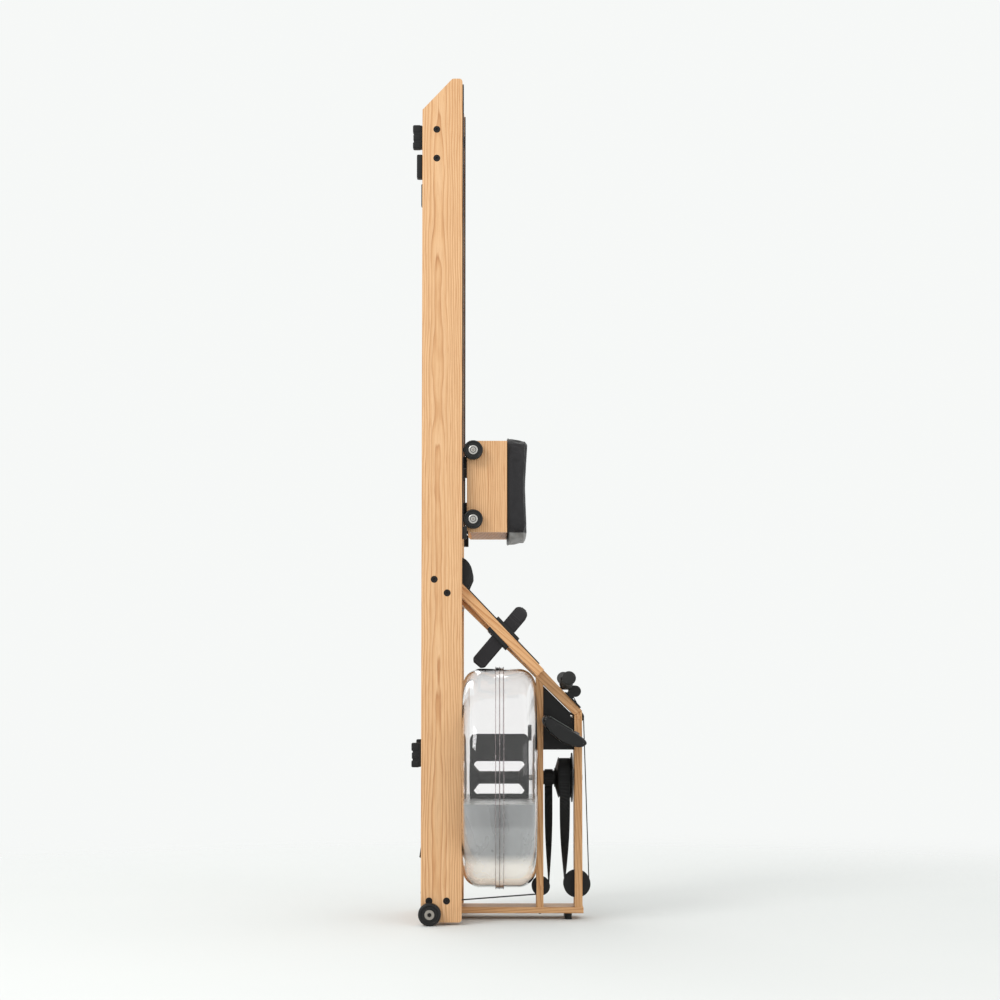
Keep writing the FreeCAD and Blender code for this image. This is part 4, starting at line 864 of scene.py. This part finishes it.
def make_grips():
    """Foam grips, slightly waisted, with a rolled end."""
    bar_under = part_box("handle_bar")[0].z
    lo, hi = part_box("handle_grips")
    length, radius, inner_end = 172 * MM, 17 * MM, 64 * MM
    waist, taper, steps = 2.2 * MM, 1.6 * MM, 28
    profile = [(0.1 * MM, 0), (12 * MM, 0)]
    profile += [(radius - waist * math.sin(math.pi * share) - taper * (1 - share),
                 1 * MM + share * (length - 6 * MM)) for share in (i / steps for i in range(steps + 1))]
    profile += [(radius - 1.5 * MM, length - 2 * MM), (radius - 5 * MM, length), (0.1 * MM, length)]
    for out in (-1, 1):
        way = Vector((0, out * math.cos(GRIP_DROOP), math.sin(GRIP_DROOP)))
        start = Vector(((lo.x + hi.x) / 2, out * inner_end, bar_under + 16 * MM))
        finish_piece(f"handle_grip_{'near' if out < 0 else 'far'}",
                                  lathe("grip", profile, start, way), "foam", "handle")
    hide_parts("handle_grips")


def make_screws():
    """Small pan-head screws on the side plates and under the front board."""
    lo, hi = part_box("side_plates")
    board_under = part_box("front_board")[0].z
    head = in_metres([(0.05, 0), (4.2, 0), (4.0, 1.2), (2.6, 2.0), (1.4, 2.2), (1.2, 1.4), (0.05, 1.4)])
    plate_in, plate_up, board_out, board_side = 14 * MM, 84 * MM, 95 * MM, 40 * MM
    for count, out in enumerate((-1, 1)):
        place = Vector((hi.x - plate_in, out * hi.y, lo.z + plate_up))
        finish_piece(f"plate_screw_{count + 1}", lathe("screw", head, place, Y_AXIS * out, 24), "steel",
                     "frame")
    for count, out in enumerate((-1, 1)):
        place = Vector((board_out, out * board_side, board_under))
        finish_piece(f"board_screw_{count + 1}", lathe("screw", head, place, -Z_AXIS, 24), "oxide",
                     "frame")


def make_plugs():
    """Wooden plugs over the ends of the pulley axles; the bungee pulley's are inside the front spacer."""
    plug = in_metres([(0.05, 0), (6.0, 0), (5.6, 0.6), (0.05, 0.9)])
    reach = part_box("pulley_axles")[1].y
    for node in ("recoil_pulley", "bungee_pulley", "strap_guide_roller", "drive_pulley"):
        lo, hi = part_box(node)
        for side, out in SIDES:
            centre = Vector(((lo.x + hi.x) / 2, out * reach, (lo.z + hi.z) / 2))
            mesh = lathe("plug", plug, centre, Y_AXIS * out, 32)
            finish_piece(f"axle_plug_{node}_{side}", mesh, "oak_deck", "frame")


# ---------------------------------------------------------------- stage, light and camera

def make_stage():
    """A wide pale floor that fades into the background away from the machine."""
    mesh = bpy.data.meshes.new("floor")
    size = 30    # metres from the middle to each edge
    corners = [(-size, -size, 0), (size, -size, 0), (size, size, 0), (-size, size, 0)]
    mesh.from_pydata(corners, [], [(0, 1, 2, 3)])
    floor = bpy.data.objects.new("floor", mesh)
    bpy.context.scene.collection.objects.link(floor)
    material, tree, shader = new_material("floor_look", Roughness=0.9)
    place = coordinates(tree)
    spread = noise(tree, place, 1.5, 3)
    tree.links.new(mix(tree, spread, (0.71, 0.725, 0.715), (0.73, 0.74, 0.73)), shader.inputs["Base Color"])
    reach = add_node(tree, "VectorMath", {0: place}, operation="LENGTH").outputs["Value"]
    fade = add_node(tree, "MapRange", {"Value": reach, "From Min": 0.9, "From Max": 3.6, "To Min": 1.0,
                                       "To Max": 0.0}, interpolation_type="SMOOTHERSTEP").outputs[0]
    tree.links.new(fade, shader.inputs["Alpha"])
    mesh.materials.append(material)


def make_light(name, place, aim, size, power):
    data = bpy.data.lights.new(name, "AREA")
    data.size, data.energy = size, power
    light = bpy.data.objects.new(name, data)
    light.location = place
    light.rotation_euler = (Vector(aim) - Vector(place)).to_track_quat("-Z", "Y").to_euler()
    bpy.context.scene.collection.objects.link(light)


def make_world():
    world = bpy.data.worlds.new("studio")
    world.use_nodes = True
    sky = world.node_tree.nodes["Background"]
    sky.inputs[0].default_value = (0.925, 0.94, 0.93, 1)
    sky.inputs[1].default_value = 1.0
    bpy.context.scene.world = world
    bpy.context.scene.view_settings.view_transform = "Standard"


def make_camera():
    """Looks square at the near side from low down, tipped up a little and hardly shifted."""
    data = bpy.data.cameras.new("camera")
    data.sensor_width, data.lens = 36, 80.28
    data.shift_x, data.shift_y = 0.004, 0.03
    camera = bpy.data.objects.new("camera", data)
    camera.location = (-15 * MM, -5.68, 0.598)
    tipped_up = 3.85    # degrees
    camera.rotation_euler = (math.radians(90 + tipped_up), 0, 0)
    bpy.context.scene.collection.objects.link(camera)
    bpy.context.scene.camera = camera


dress_nodes()
make_cushion()
make_seat_tray()
make_seat_wheel_hubs()
make_transport_details()
make_toe_straps()
make_strap_lead()
make_water()
make_seam_rings()
make_floor_pads()
make_heel_cups()
make_feet()
make_grips()
make_screws()
make_plugs()
make_monitor()
make_stage()
make_world()
make_light("key", (-3.2, -3.6, 4.2), (0, 0, 1.0), 2.2, 130)
make_light("fill", (3.4, -4.2, 2.2), (0, 0, 0.9), 3.0, 25)
make_light("back", (-1.5, 4.0, 3.6), (0, 0, 1.0), 3.0, 45)
make_camera()
